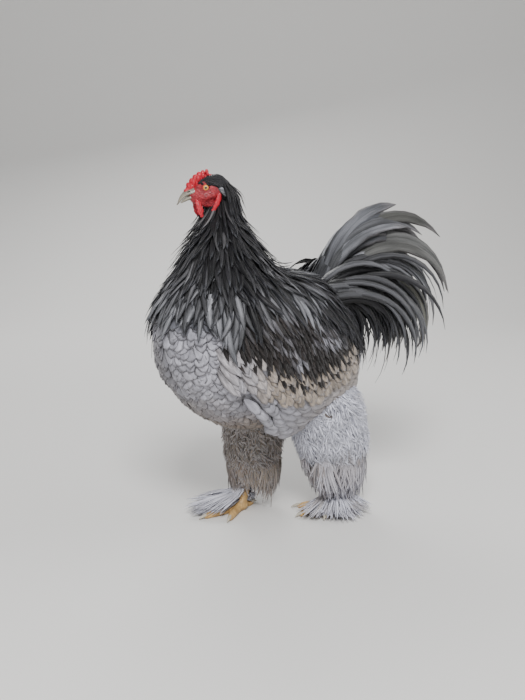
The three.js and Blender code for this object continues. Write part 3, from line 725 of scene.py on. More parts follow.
@dataclass(frozen=True)
class FeatherFinish:
    """How a tract's feathers are marked and how they shine."""

    name: str
    lace: Shade
    lace_amount: float
    lace_start: float
    shaft: float
    barbs: float
    slant: float
    contrast: float
    root_shade: float
    variety: float = 0.25
    roughness: float = 0.62
    sheen: float = 0.15
    bump: float = 0.25

    def make(self, effects: Effects) -> Material:
        """Build the material from the shared vane group.

        Args:
            effects: The shared groups.

        Returns:
            The material.
        """
        material, net, shader = blank(self.name)
        marks = net.node("Group", node_tree=effects.marks)
        net.fill(marks, {"Tone": net.attribute("Tone", "Color"), "Vane": net.attribute("Vane", "Vector"),
                         "Lace": (*self.lace.light, 1.0), "Lace amount": self.lace_amount,
                         "Lace start": self.lace_start, "Shaft": self.shaft, "Barbs": self.barbs,
                         "Slant": self.slant, "Contrast": self.contrast, "Root shade": self.root_shade,
                         "Variety": self.variety})
        net.fill(shader, {"Base Color": net.out(marks, "Color"), "Roughness": self.roughness,
                          "Normal": net.bump(net.out(marks, "Height"), self.bump, 0.0006),
                          "Sheen Weight": self.sheen, "Specular IOR Level": 0.24})
        return material


@dataclass(frozen=True)
class SkinFinish:
    """Bare skin, horn or scales."""

    name: str
    base: tuple[int, int, int]
    second: tuple[int, int, int]
    scale: float = 500.0
    mottle: float = 0.6
    bump: float = 0.3
    depth: float = 0.0008
    coat: float = 0.0
    soft: float = 0.0

    def make(self, effects: Effects) -> Material:
        """Build the material from the shared skin group.

        Args:
            effects: The shared groups.

        Returns:
            The material.
        """
        material, net, shader = blank(self.name)
        grain = net.node("Group", node_tree=effects.skin)
        net.fill(grain, {"Base": (*linear(*self.base), 1.0), "Second": (*linear(*self.second), 1.0),
                         "Scale": self.scale, "Mottle": self.mottle})
        net.fill(shader, {"Base Color": net.out(grain, "Color"), "Roughness": net.out(grain, "Roughness"),
                          "Normal": net.bump(net.out(grain, "Height"), self.bump, self.depth),
                          "Coat Weight": self.coat, "Subsurface Weight": self.soft,
                          "Subsurface Radius": (0.004, 0.0012, 0.0008)})
        return material


# The columns after the name: lace colour, lace amount and start, shaft, barbs, slant, contrast, root shade,
# variety, roughness, sheen and bump.
FEATHERS = {
    "body": FeatherFinish("Laced body feathers", Shade.UMBER, 0.7, 0.86, 0.15, 40, 0.9, 0.3, 0.35, 0.3),
    "hackle": FeatherFinish("Neck hackle", Shade.SLATE, 0.32, 0.66, 0.1, 22, 1.3, 0.8, 0.35, 0.9, 0.38,
                            0.06, 0.3),
    "saddle": FeatherFinish("Saddle hackle", Shade.SLATE, 0.3, 0.68, 0.1, 26, 1.3, 0.8, 0.3, 0.9, 0.38,
                            0.06, 0.3),
    "fluff": FeatherFinish("Fluff", Shade.SILVER, 0.3, 0.5, 0.0, 18, 1.4, 0.35, 0.5, 0.25, 0.85, 0.35, 0.3),
    "down": FeatherFinish("Downy skin", Shade.SMOKE, 0.0, 0.9, 0.0, 60, 0.2, 0.3, 0.0, 0.1, 0.9, 0.2),
    "quills": FeatherFinish("Laced quills", Shade.UMBER, 0.75, 0.85, 0.2, 44, 0.9, 0.3, 0.35, 0.25),
    "coverts": FeatherFinish("Tan coverts", Shade.LAVENDER, 0.4, 0.8, 0.35, 50, 0.5, 0.6, 0.55, 0.25),
    "bow": FeatherFinish("Dark bow", Shade.SMOKE, 0.22, 0.8, 0.1, 30, 1.0, 1.0, 0.3, 0.8, 0.5, 0.08, 0.3),
    "vanes": FeatherFinish("Tail vanes", Shade.PEWTER, 0.3, 0.8, 0.4, 40, 1.2, 0.8, 0.4, 0.5),
    "sickles": FeatherFinish("Sickles", Shade.SMOKE, 0.5, 0.72, 0.4, 44, 1.4, 0.9, 0.4, 0.7, 0.5, 0.06, 0.5),
    "tail_coverts": FeatherFinish("Tail coverts", Shade.SLATE, 0.35, 0.66, 0.15, 28, 1.2, 0.6, 0.3, 0.45,
                                  0.4, 0.1, 0.35),
    "cap": FeatherFinish("Cap feathers", Shade.SLATE, 0.25, 0.7, 0.0, 16, 1.0, 0.5, 0.3, 0.4, 0.5, 0.1, 0.2),
    "plumes": FeatherFinish("Foot plumes", Shade.SILVER, 0.4, 0.4, 0.0, 16, 1.4, 0.4, 0.4, 0.3, 0.8, 0.3,
                            0.3),
}

# The columns after the name: two colours, scale, mottle, bump and its depth, coat, softness.
SKINS = {
    "face": SkinFinish("Face skin", (158, 34, 44), (112, 24, 34), 420, 0.8, 0.8, 0.001, 0.06, 0.08),
    "comb": SkinFinish("Comb skin", (190, 24, 44), (154, 18, 36), 620, 0.7, 0.5, 0.0006, 0.1, 0.1),
    "bill": SkinFinish("Bill horn", (140, 134, 120), (70, 66, 62), 90, 1.0, 0.15, 0.0004, 0.2),
    "shank": SkinFinish("Shank scales", (196, 160, 104), (150, 116, 72), 260, 0.6),
    "claw": SkinFinish("Claw horn", (188, 182, 166), (146, 138, 122), 120, 0.5),
}


def cast(level: Level, low: Sequence[float], high: Sequence[float],
         voxel: float, rounds: int = 4) -> tuple[Array, Array]:
    """Cast a closed mesh of a field's surface.

    Args:
        level: Signed distance at points, negative inside.
        low: Lower corner of the box to search.
        high: Upper corner of that box.
        voxel: Size of a cell.
        rounds: How often the points are moved on to the surface.

    Returns:
        Points and four-cornered faces.
    """
    low = np.asarray(low, float)
    size = np.ceil((np.asarray(high, float) - low) / voxel).astype(int)
    axes = [low[k] + voxel * np.arange(size[k] + 1) for k in range(3)]
    grid = np.stack(np.meshgrid(*axes, indexing="ij"), -1)
    inside = level(grid.reshape(-1, 3)).reshape(grid.shape[:3]) < 0
    strides = np.array([(size[1] + 3) * (size[2] + 3), size[2] + 3, 1])
    quads = []
    for axis in range(3):
        step = np.eye(3, dtype=int)[axis]
        ahead = np.roll(inside, -1, axis)
        a, b = (axis + 1) % 3, (axis + 2) % 3
        for sign, hits in ((1, inside & ~ahead), (-1, ~inside & ahead)):
            base = np.argwhere(hits) + step
            ring = []
            for da, db in ((0, 0), (1, 0), (1, 1), (0, 1)):
                at = base.copy()
                at[:, a] += da
                at[:, b] += db
                ring.append(at @ strides)
            quads.append(np.stack(ring[::sign], 1))
    keys, faces = np.unique(np.concatenate(quads), return_inverse=True)
    index = np.stack([keys // strides[0], keys % strides[0] // strides[1], keys % strides[1]], 1)
    points = low + (index - 0.5) * voxel
    for _ in range(rounds):
        value = level(points)
        nearby = np.eye(3) * voxel * 0.2
        slope = np.stack([level(points + e) - level(points - e) for e in nearby], 1) / (voxel * 0.4)
        away = slope / np.maximum((slope ** 2).sum(1, keepdims=True), 0.2)
        points = points - np.clip(value, -voxel, voxel)[:, None] * away * 0.9
    return points, faces.reshape(-1, 4)


def chain(p: Array, path: Sequence[Sequence[float]], radii: Sequence[float], flat: float = 1.0,
          axis: int = 1) -> Array:
    """Distance from a tapering limb through some points, flattened along an axis.

    Args:
        p: Points, one a row.
        path: Points along the limb.
        radii: Radius at each of them.
        flat: How thick it is along the axis, as a share of its width.
        axis: The flattened axis.

    Returns:
        Distance of each point, negative inside.
    """
    scale = np.ones(3)
    scale[axis] = 1 / flat
    best = np.full(len(p), 1e9)
    for i in range(len(path) - 1):
        a, b = np.array(path[i], float), np.array(path[i + 1], float)
        run = b - a
        t = np.clip(((p - a) * scale) @ (run * scale) / ((run * scale) ** 2).sum(), 0, 1)
        off = np.linalg.norm(((p - a) - t[:, None] * run) * scale, axis=1)
        best = np.minimum(best, (off - lerp(radii[i], radii[i + 1], t)) * min(1.0, flat))
    return best


@dataclass
class Plumage:
    """All the tracts of body feathers, laid over the body's field."""

    body: Body
    weaver: Weaver
    effects: Effects
    contour_spacing: float = 13.0
    contour_length: float = 44.0
    contour_width: float = 24.5
    hackle_rows: int = 17
    nape_rows: int = 7
    saddle_rows: int = 17
    thigh_spacing: float = 11.0
    rump_spacing: float = 13.0
    rump_length: float = 48.0
    fringe_tufts: int = 240
    blade_width: float = 5.0
    rng: np.random.Generator = field(default_factory=lambda: np.random.default_rng(41))

    def lay(self, roots: Array, flow: Level, lengths: Array,
            rise: tuple[float, float], steps: int, push_only: bool = False,
            lift: Array | None = None, curl: float = 0.0) -> tuple[Array, Array]:
        """Grow feathers over the body.

        Args:
            roots: Where they start.
            flow: The way that feathers point at some points.
            lengths: Length of each.
            rise: Height over the surface at the root and at the tip.
            steps: Parts along each.
            push_only: Let them hang free of the body.
            lift: Extra height of each at its tip.
            curl: How far feathers swerve aside by their tips, in radians.

        Returns:
            The points along each feather, and the way its upper face looks there.
        """
        extra = np.zeros(len(roots)) if lift is None else lift
        swerve = self.rng.normal(0, 1, len(roots)) * curl
        p = roots if push_only else self.body.settle(roots, rise[0])
        paths, ups = [p], []
        way = flow(p)
        for i in range(steps):
            normal = unit(self.body.slope(p))
            ups.append(normal)
            wanted = flow(p)
            wanted = wanted - normal * (wanted * normal).sum(1, keepdims=True)
            wanted = wanted + np.cross(normal, wanted) * (swerve * (i / steps - 0.25))[:, None]
            way = unit(unit(wanted) + (0.9 * way if push_only else 0.0))
            p = p + way * (lengths / steps)[:, None]
            t = (i + 1) / steps
            level = lerp(rise[0], rise[1], t ** 0.8) + extra * t
            p = self.body.settle(p, level, 2, push_only)
            paths.append(p)
        ups.append(unit(self.body.slope(p)))
        return np.stack(paths, 1), np.stack(ups, 1)

    def even_roots(self, level: Level, low: Sequence[float], high: Sequence[float],
                   spacing: float) -> Array:
        """Roots spread evenly over a field's surface.

        Args:
            level: The field.
            low: Lower corner of the box to search.
            high: Upper corner of that box.
            spacing: Space between neighbours.

        Returns:
            Points near the surface.
        """
        points, _ = cast(level, low, high, spacing, 3)
        return points + self.rng.uniform(-0.3, 0.3, points.shape) * spacing

    @staticmethod
    def unwrap(p: Array) -> Array:
        """Places on the bake map: round the bird and along it."""
        turn = np.arctan2(p[:, 1], p[:, 2] - 330.0) / (2 * math.pi) + 0.5
        return np.stack([0.01 + 0.98 * turn, 0.01 + 0.98 * np.clip((p[:, 0] + 300) / 480, 0, 1)], 1)

    @staticmethod
    def upright(p: Array, x: float = -150.0, y: float = 0.0) -> Array:
        """Places on the bake map of a piece that stands upright."""
        turn = np.arctan2(p[:, 1] - y, p[:, 0] - x) / (2 * math.pi) + 0.5
        return np.stack([0.01 + 0.98 * turn, 0.01 + 0.98 * np.clip(p[:, 2] / 680, 0, 1)], 1)

    @staticmethod
    def contour_flow(p: Array) -> Array:
        """Down the breast, then back along the flanks and belly.

        Args:
            p: Points, one a row.

        Returns:
            The way that feathers lie there.
        """
        t = np.clip((p[:, 0] - BREAST_X) / 230, 0, 1)
        way = np.stack([0.25 + 0.85 * t, 0.05 * np.sign(p[:, 1]), -1.0 + 0.8 * t], 1)
        sway = 0.22 * np.sin(p[:, 0] * 0.09 + p[:, 1] * 0.13) + 0.22 * np.sin(p[:, 2] * 0.11 - p[:, 1] * 0.07)
        return unit(way + np.stack([0 * t, sway, 0 * t], 1))

    def contour_tone(self, p: Array) -> Array:
        """Colour of the breast, flank and belly feathers at their roots, with painted shade down the cleft of
        the breast and on the front of its right side.

        Args:
            p: Roots, one a row.

        Returns:
            One colour for each.
        """
        pale = Shade.LAVENDER.light
        low = smooth(300, 205, p[:, 2])[:, None]
        back = smooth(-40, 60, p[:, 0])[:, None]
        # Painted shade: darker down the breast's cleft, a little to the right of its middle.
        cleft_shade = np.exp(-((p[:, 1] - 12) / 16) ** 2)[:, None] * smooth(420, 380, p[:, 2])[:, None]
        tone = pale * (1 - 0.42 * cleft_shade)
        tone = tint(tone, Shade.BROWN.light * 1.25, low)
        tone = tint(tone, Shade.SMOKE.light, back)
        # Painted shade on the front of the breast's right side, the side turned away from the light.
        painted_shade = (0.5 * smooth(4, 34, p[:, 1]) * smooth(-120, -200, p[:, 0]) * smooth(410, 380, p[:, 2]))[:, None]
        tone = tint(tone, Shade.SMOKE.light * 0.8, painted_shade)
        upper = smooth(395, 440, p[:, 2])[:, None]
        tone = tint(tone, Shade.SLATE.light, upper)
        waves = np.sin(p[:, 0] * 0.045 + 2 * np.sin(p[:, 2] * 0.03)) * np.sin(p[:, 2] * 0.06 + p[:, 1] * 0.03)
        patch = 0.5 + 0.5 * waves
        warm = (0.5 * patch * smooth(380, 260, p[:, 2]) * self.rng.random(len(p)))[:, None]
        tone = tint(tone, Shade.TAN.light, warm)
        return tone * vary(self.rng, 0.13, (len(p), 1))

    def contour(self) -> None:
        """The rounded, laced feathers of breast, flanks and belly."""
        roots = self.even_roots(self.body.trunk_field, (-290, -150, 170), (170, 150, 500), self.contour_spacing)
        covered = (self.body.neck_field(roots) < -16) | (roots[:, 2] > 440)
        covered |= (np.abs(roots[:, 1]) > 105) & (roots[:, 0] > -170) & (roots[:, 0] < 60) & (roots[:, 2] > 250)
        covered |= (roots[:, 0] > 60) & (roots[:, 2] < 330)
        for leg in self.body.legs:
            covered |= self.body.thigh_field(roots, leg) < -14
        roots = roots[~covered]
        count = len(roots)
        lengths = self.contour_length * vary(self.rng, 0.14, count)
        front = smooth(-180, -260, roots[:, 0])
        lengths = lengths * (1 - 0.15 * front)
        paths, ups = self.lay(roots, self.contour_flow, lengths, (-self.body.coat - 2, 1.5), 6,
                              lift=self.rng.normal(0.6, 1.1, count), curl=0.15)
        widths = self.contour_width * vary(self.rng, 0.14, count)
        tract = Tract(FeatherShape.BODY, 0.5, 0.09, 8, 0.06)
        tract.add(paths, ups, widths, self.contour_tone(roots), self.unwrap(roots))
        tract.weave(self.weaver, "breast_and_belly", "breast_feathers", self.effects.coat("body"), seed=3)

    def hackle_flow(self, p: Array) -> Array:
        """Down the neck and out over the shoulders."""
        out = np.stack([p[:, 0] + 150, p[:, 1] * 1.1, np.zeros(len(p))], 1)
        return unit(unit(out) * 0.35 + np.array([0.04, 0.0, -1.0]))

    def hackle(self) -> None:
        """The long, narrow, overlapping feathers of the neck."""
        tract = Tract(FeatherShape.HACKLE, 0.45, 0.2, 4, 0.08)
        levels = np.linspace(618, 462, self.hackle_rows)
        for index, z in enumerate(levels):
            t = index / (len(levels) - 1)
            cx, cy, rx, ry = (value[0] for value in self.body.neck.at(np.array([z])))
            count = int(2 * math.pi * (rx + ry) / 2 / lerp(4.4, 9.6, t))
            angle = 2 * math.pi * (np.arange(count) + 0.5 * (index % 2)) / count
            angle = angle + self.rng.normal(0, 0.04, count)
            roots = np.stack([cx + np.cos(angle) * rx, cy + np.sin(angle) * ry,
                              z + self.rng.normal(0, 4, count)], 1)
            lengths = lerp(58, 124, t ** 0.7) * vary(self.rng, 0.12, count)
            throat = smooth(0.6, 1.0, -np.cos(angle - 0.15))
            lengths = lengths * (1 - 0.3 * throat * t)
            lift = self.rng.normal(5.0, 3.4, count) * lerp(0.9, 1.3, t) + 4 * smooth(0.45, 0.0, t)
            paths, ups = self.lay(roots, self.hackle_flow, lengths, (-5.0, lerp(8.0, 11.0, t)), 9, lift=lift,
                                  curl=0.42)
            widths = lerp(7.0, 16.5, t) * vary(self.rng, 0.14, count)
            tone = np.repeat(Shade.INK.light[None], count, 0)
            front = smooth(0.25, 0.7, t + 0.12 * self.rng.standard_normal(count))
            front = front * smooth(-0.2, -0.9, np.cos(angle))
            tip = smooth(0.72, 1.0, t + 0.1 * self.rng.standard_normal(count)) * 0.8
            drift = 0.5 + 0.5 * np.sin(5 * angle + 0.045 * z + 2 * np.sin(3 * angle + 0.02 * z))
            streak = (self.rng.random(count) < lerp(0.25, 0.75, t) * drift) * self.rng.random(count)
            grey = np.clip(0.5 * streak + 0.45 * front * self.rng.random(count) + 0.75 * tip, 0, 1)[:, None]
            warm = Shade.PEWTER.light * (1 - 0.4 * (1 - t)) + Shade.BROWN.light * 0.3 * (1 - t)
            tone = tint(tone, warm, grey)
            tract.add(paths, ups, widths, tone, self.upright(roots))
        self.nape(tract)
        material = self.effects.coat("hackle")
        tract.weave(self.weaver, "neck_hackle", "hackle_feathers", material, ("neck",), 5)

    def nape_flow(self, p: Array) -> Array:
        """Down the back of the neck, hugging it.

        Args:
            p: Points, one a row.

        Returns:
            The way that feathers lie there.
        """
        out = np.stack([p[:, 0] + 152, p[:, 1] - 9, np.zeros(len(p))], 1)
        flare = lerp(0.12, 0.42, smooth(630, 590, p[:, 2]))[:, None]
        return unit(unit(out) * flare + np.array([0.02, 0.0, -1.0]))

    def nape(self, tract: Tract) -> None:
        """Feathers from the back of the head down over the first hackles.

        Args:
            tract: Takes the feathers.
        """
        for index, z in enumerate(np.linspace(650, 622, self.nape_rows)):
            t = index / (self.nape_rows - 1)
            count = int(lerp(22, 34, t))
            angle = np.linspace(-1.35, 1.35, count) + self.rng.normal(0, 0.05, count) + (index % 2) * 0.06 - 0.1
            wide, deep = lerp(17, 24, t), lerp(17, 23, t)
            roots = np.stack([-163 + 3 * t + np.cos(angle) * deep, 7 + np.sin(angle) * wide,
                              z + self.rng.normal(0, 1.5, count)], 1)
            lengths = lerp(54, 78, t) * vary(self.rng, 0.16, count)
            lift = self.rng.normal(1.0, 1.2, count)
            paths, ups = self.lay(roots, self.nape_flow, lengths, (-3.0, 7.0), 9, True, lift)
            tone = np.repeat(Shade.INK.light[None], count, 0) * (1 + 0.4 * self.rng.random((count, 1)))
            tract.add(paths, ups, 6.5 + 1.2 * self.rng.standard_normal(count), tone, self.upright(roots))

    def saddle_flow(self, p: Array) -> Array:
        """Back and down from the spine.

        Args:
            p: Points, one a row.

        Returns:
            The way that feathers lie there.
        """
        side = np.sign(p[:, 1])
        out = np.clip(np.abs(p[:, 1]) / 100, 0, 1)
        return unit(np.stack([0.85 - 0.35 * out, side * (0.35 + 0.3 * out), -0.25 - 0.75 * out], 1))

    def saddle(self) -> None:
        """The long hackles that spring from the back and hang over the flanks."""
        tract = Tract(FeatherShape.HACKLE, 0.45, 0.2, 4, 0.08)
        for side in (-1, 1):
            for index, y in enumerate(np.linspace(116, 4, self.saddle_rows)):
                t = index / (self.saddle_rows - 1)
                x = np.arange(lerp(-62, -84, t), lerp(58, 104, t), 7.0)
                count = len(x)
                x = x + self.rng.normal(0, 2.5, count)
                roots = np.stack([x, side * (y + self.rng.normal(0, 2.5, count)), np.full(count, 470.0)], 1)
                roots = self.body.settle(roots, 0.0, 4)
                back = (x + 84) / 188
                lengths = lerp(105, 165, t ** 0.6) * (0.72 + 0.42 * back) * vary(self.rng, 0.1, count)
                lift = self.rng.normal(2.0, 2.6, count) + 5 * back
                lift = lift + 9 * smooth(0.35, 0.0, np.full(count, t))
                rise = (-4.0, lerp(11.0, 15.0, t))
                paths, ups = self.lay(roots, self.saddle_flow, lengths, rise, 10, lift=lift, curl=0.4)
                widths = 11 * vary(self.rng, 0.14, count)
                tone = np.repeat(Shade.INK.light[None], count, 0)
                grey = np.clip(0.12 * self.rng.random(count) + 0.6 * smooth(0.75, 1.0, back), 0, 1)[:, None]
                tone = tint(tone, Shade.SMOKE.light, grey)
                tract.add(paths, ups, widths, tone, self.unwrap(roots))
        tract.weave(self.weaver, "saddle_hackle", "saddle_feathers", self.effects.coat("saddle"),
                    ("saddle_left", "saddle_right"), 7)

    def fluff_flow(self, p: Array) -> Array:
        """Down, and a little back."""
        return unit(np.stack([np.full(len(p), 0.3), 0.1 * np.sign(p[:, 1]), np.full(len(p), -1.0)], 1))

    def fluff(self) -> None:
        """Soft wisps over each thigh and over the belly behind the legs."""
        material = self.effects.coat("fluff")
        for leg in self.body.legs:
            ends = np.array([leg.low, leg.hip])
            low, high = ends.min(0) - np.array([95, 85, 12]), ends.max(0) + np.array([95, 85, 50])
            roots = self.even_roots(lambda p, one=leg: self.body.thigh_field(p, one), low, high,
                                    self.thigh_spacing)
            roots = roots[self.body.trunk_field(roots) > -24]
            drop = (leg.hip[2] - roots[:, 2]) / 160
            share = smooth(0.45, 0.95, drop + 0.1 * self.rng.standard_normal(len(roots)))
            pale = Shade.SILVER.light if leg.side < 0 else Shade.TAN.light * 0.9
            tone = tint(pale, Shade.BROWN.light * 1.3, share[:, None])
            lengths = lerp(44, 32, share)
            places = self.upright(roots, leg.hip[0], leg.hip[1])
            tract = self.clumps(roots, self.fluff_flow, lengths, tone, places)
            tract.weave(self.weaver, f"thigh_fluff_{leg.name}", "fluff", material, (f"thigh_{leg.name}",),
                        11 + leg.side)
            self.fringe(leg, material)
        roots = self.even_roots(self.body.trunk_field, (34, -140, 170), (170, 140, 345), self.rump_spacing)
        for leg in self.body.legs:
            roots = roots[self.body.thigh_field(roots, leg) > -14]
        low = smooth(300, 200, roots[:, 2])[:, None]
        tone = tint(Shade.SILVER.light, Shade.TAN.light, low)
        lengths = np.full(len(roots), self.rump_length)
        tract = self.clumps(roots, self.rump_flow, lengths, tone, self.unwrap(roots))
        tract.weave(self.weaver, "rump_fluff", "fluff", material, (), 15)

    def fringe(self, leg: Leg, material: Material) -> None:
        """Longer plumes that hang free from the thigh's lower end, round the shank.

        Args:
            leg: The leg they hang on.
            material: Their material.
        """
        count = self.fringe_tufts
        t, angle = 0.62 + 0.33 * self.rng.random(count), 2 * math.pi * self.rng.random(count)
        rx, ry = leg.girth.at(t)
        top = np.array(leg.hip)
        roots = top + (leg.low - top) * t[:, None]
        roots = roots + np.stack([np.cos(angle) * (rx - 5), np.sin(angle) * (ry - 5), np.zeros(count)], 1)
        out = np.stack([np.cos(angle), np.sin(angle), np.zeros(count)], 1)
        ahead = smooth(0.5, 1.0, -np.cos(angle - 0.5 * leg.side))
        long = (34 + 46 * self.rng.random(count)) * (1 - 0.4 * ahead)
        long = np.minimum(long, roots[:, 2] - 12 - 16 * self.rng.random(count))
        mixing = 0.15 + 0.35 * self.rng.random((count, 1)) + 0.25 * smooth(0.2, 0.9, -np.sin(angle))[:, None]
        tone = tint(Shade.BROWN.light * 1.5, (Shade.SILVER if leg.side < 0 else Shade.TAN).light, mixing)
        tract = Tract(FeatherShape.WISP, 0.5, 0.2, 3, 0.14)
        steps = np.linspace(0, 1, 7)[None, :, None]
        for fan in np.linspace(-1, 1, 7):
            size = (long * (1 - 0.2 * fan * fan) * vary(self.rng, 0.1, count))[:, None, None]
            across = np.stack([-out[:, 1], out[:, 0], np.zeros(count)], 1)[:, None]
            drop = np.array([0.06, 0.0, -1.0])
            sway = across * (self.rng.normal(0, 0.12, count)[:, None, None] * steps ** 2)
            bulge = out[:, None] * (0.34 * steps - 0.36 * steps ** 2)
            fanned = across * 0.4 * fan * steps * (1.25 - 0.6 * steps)
            paths = roots[:, None] + size * (sway + steps * drop + bulge + fanned)
            ups = np.broadcast_to(out[:, None], paths.shape)
            tract.add(paths, ups, 4.6 * vary(self.rng, 0.2, count), tone,
                      self.upright(roots, leg.hip[0], leg.hip[1]))
        tract.weave(self.weaver, f"shank_fringe_{leg.name}", "fluff", material, (), 91)

    def rump_flow(self, p: Array) -> Array:
        """Back, outwards and down over the rump."""
        return unit(np.stack([np.full(len(p), 0.9), 0.25 * np.sign(p[:, 1]), np.full(len(p), -0.75)], 1))

    def clumps(self, roots: Array, flow: Level, lengths: Array, tone: Array, places: Array,
               blades: int = 7) -> Tract:
        """Downy feathers, each a fan of fine blades from one root.

        Args:
            roots: Where they start.
            flow: The way that they point.
            lengths: Length of each.
            tone: Colour of each.
            places: Root of each on the bake map.
            blades: Blades in each fan.

        Returns:
            The tract with every blade.
        """
        tract = Tract(FeatherShape.WISP, 0.5, 0.2, 3, 0.14)
        count = len(roots)
        x, y, z = roots.T
        heave = 3.5 * np.sin(x * 0.11 + 2 * np.sin(z * 0.07)) * np.sin(z * 0.13 + y * 0.1)
        heave = heave + self.rng.normal(2.5, 2.0, count)
        swing = 0.35 * np.sin(x * 0.07 + z * 0.05) + self.rng.normal(0, 0.18, count)
        tone = tone * vary(self.rng, 0.09, (count, 1))
        for fan in np.linspace(-1, 1, blades):
            turn = 0.5 * fan + swing + self.rng.normal(0, 0.07, count)

            def fanned(p: Array, turn: Array = turn) -> Array:
                """The blades' way, fanned out from their root.

                Args:
                    p: Points, one a row.
                    turn: Angle of each blade.

                Returns:
                    The way of each blade.
                """
                base = flow(p)
                normal = unit(self.body.slope(p))
                return base * np.cos(turn)[:, None] + np.cross(normal, base) * np.sin(turn)[:, None]

            long = lengths * (1 - 0.22 * fan * fan) * vary(self.rng, 0.1, count)
            lift = heave + self.rng.normal(0, 1.4, count)
            paths, ups = self.lay(roots, fanned, long, (-6.0, 3.0), 4, lift=lift, curl=0.9)
            widths = self.blade_width * vary(self.rng, 0.2, count)
            tract.add(paths, ups, widths, tone, places)
        return tract


@dataclass
class Skin:
    """One closed skin under the coat, made from the body's field."""

    body: Body
    weaver: Weaver
    voxel: float = 7.0

    def build(self, effects: Effects) -> None:
        """Make the skin, inside the solids by the coat's depth."""
        cloud, faces = cast(lambda p: self.body.field(p) + self.body.coat, (-290, -150, 40), (170, 150, 630),
                            self.voxel)
        tone = np.repeat(Shade.SMOKE.light[None] * 0.5, len(cloud), 0)
        dark = (smooth(420, 460, cloud[:, 2]) * 0.9)[:, None]
        tone = tint(tone, Shade.INK.light, dark)
        vane = np.tile([0.5, 0.8, 0.5], (len(cloud), 1))
        self.weaver.write("skin", cloud, [faces], "breast_feathers", effects.coat("down"), ("torso",),
                          vane, tone, Plumage.unwrap(cloud))


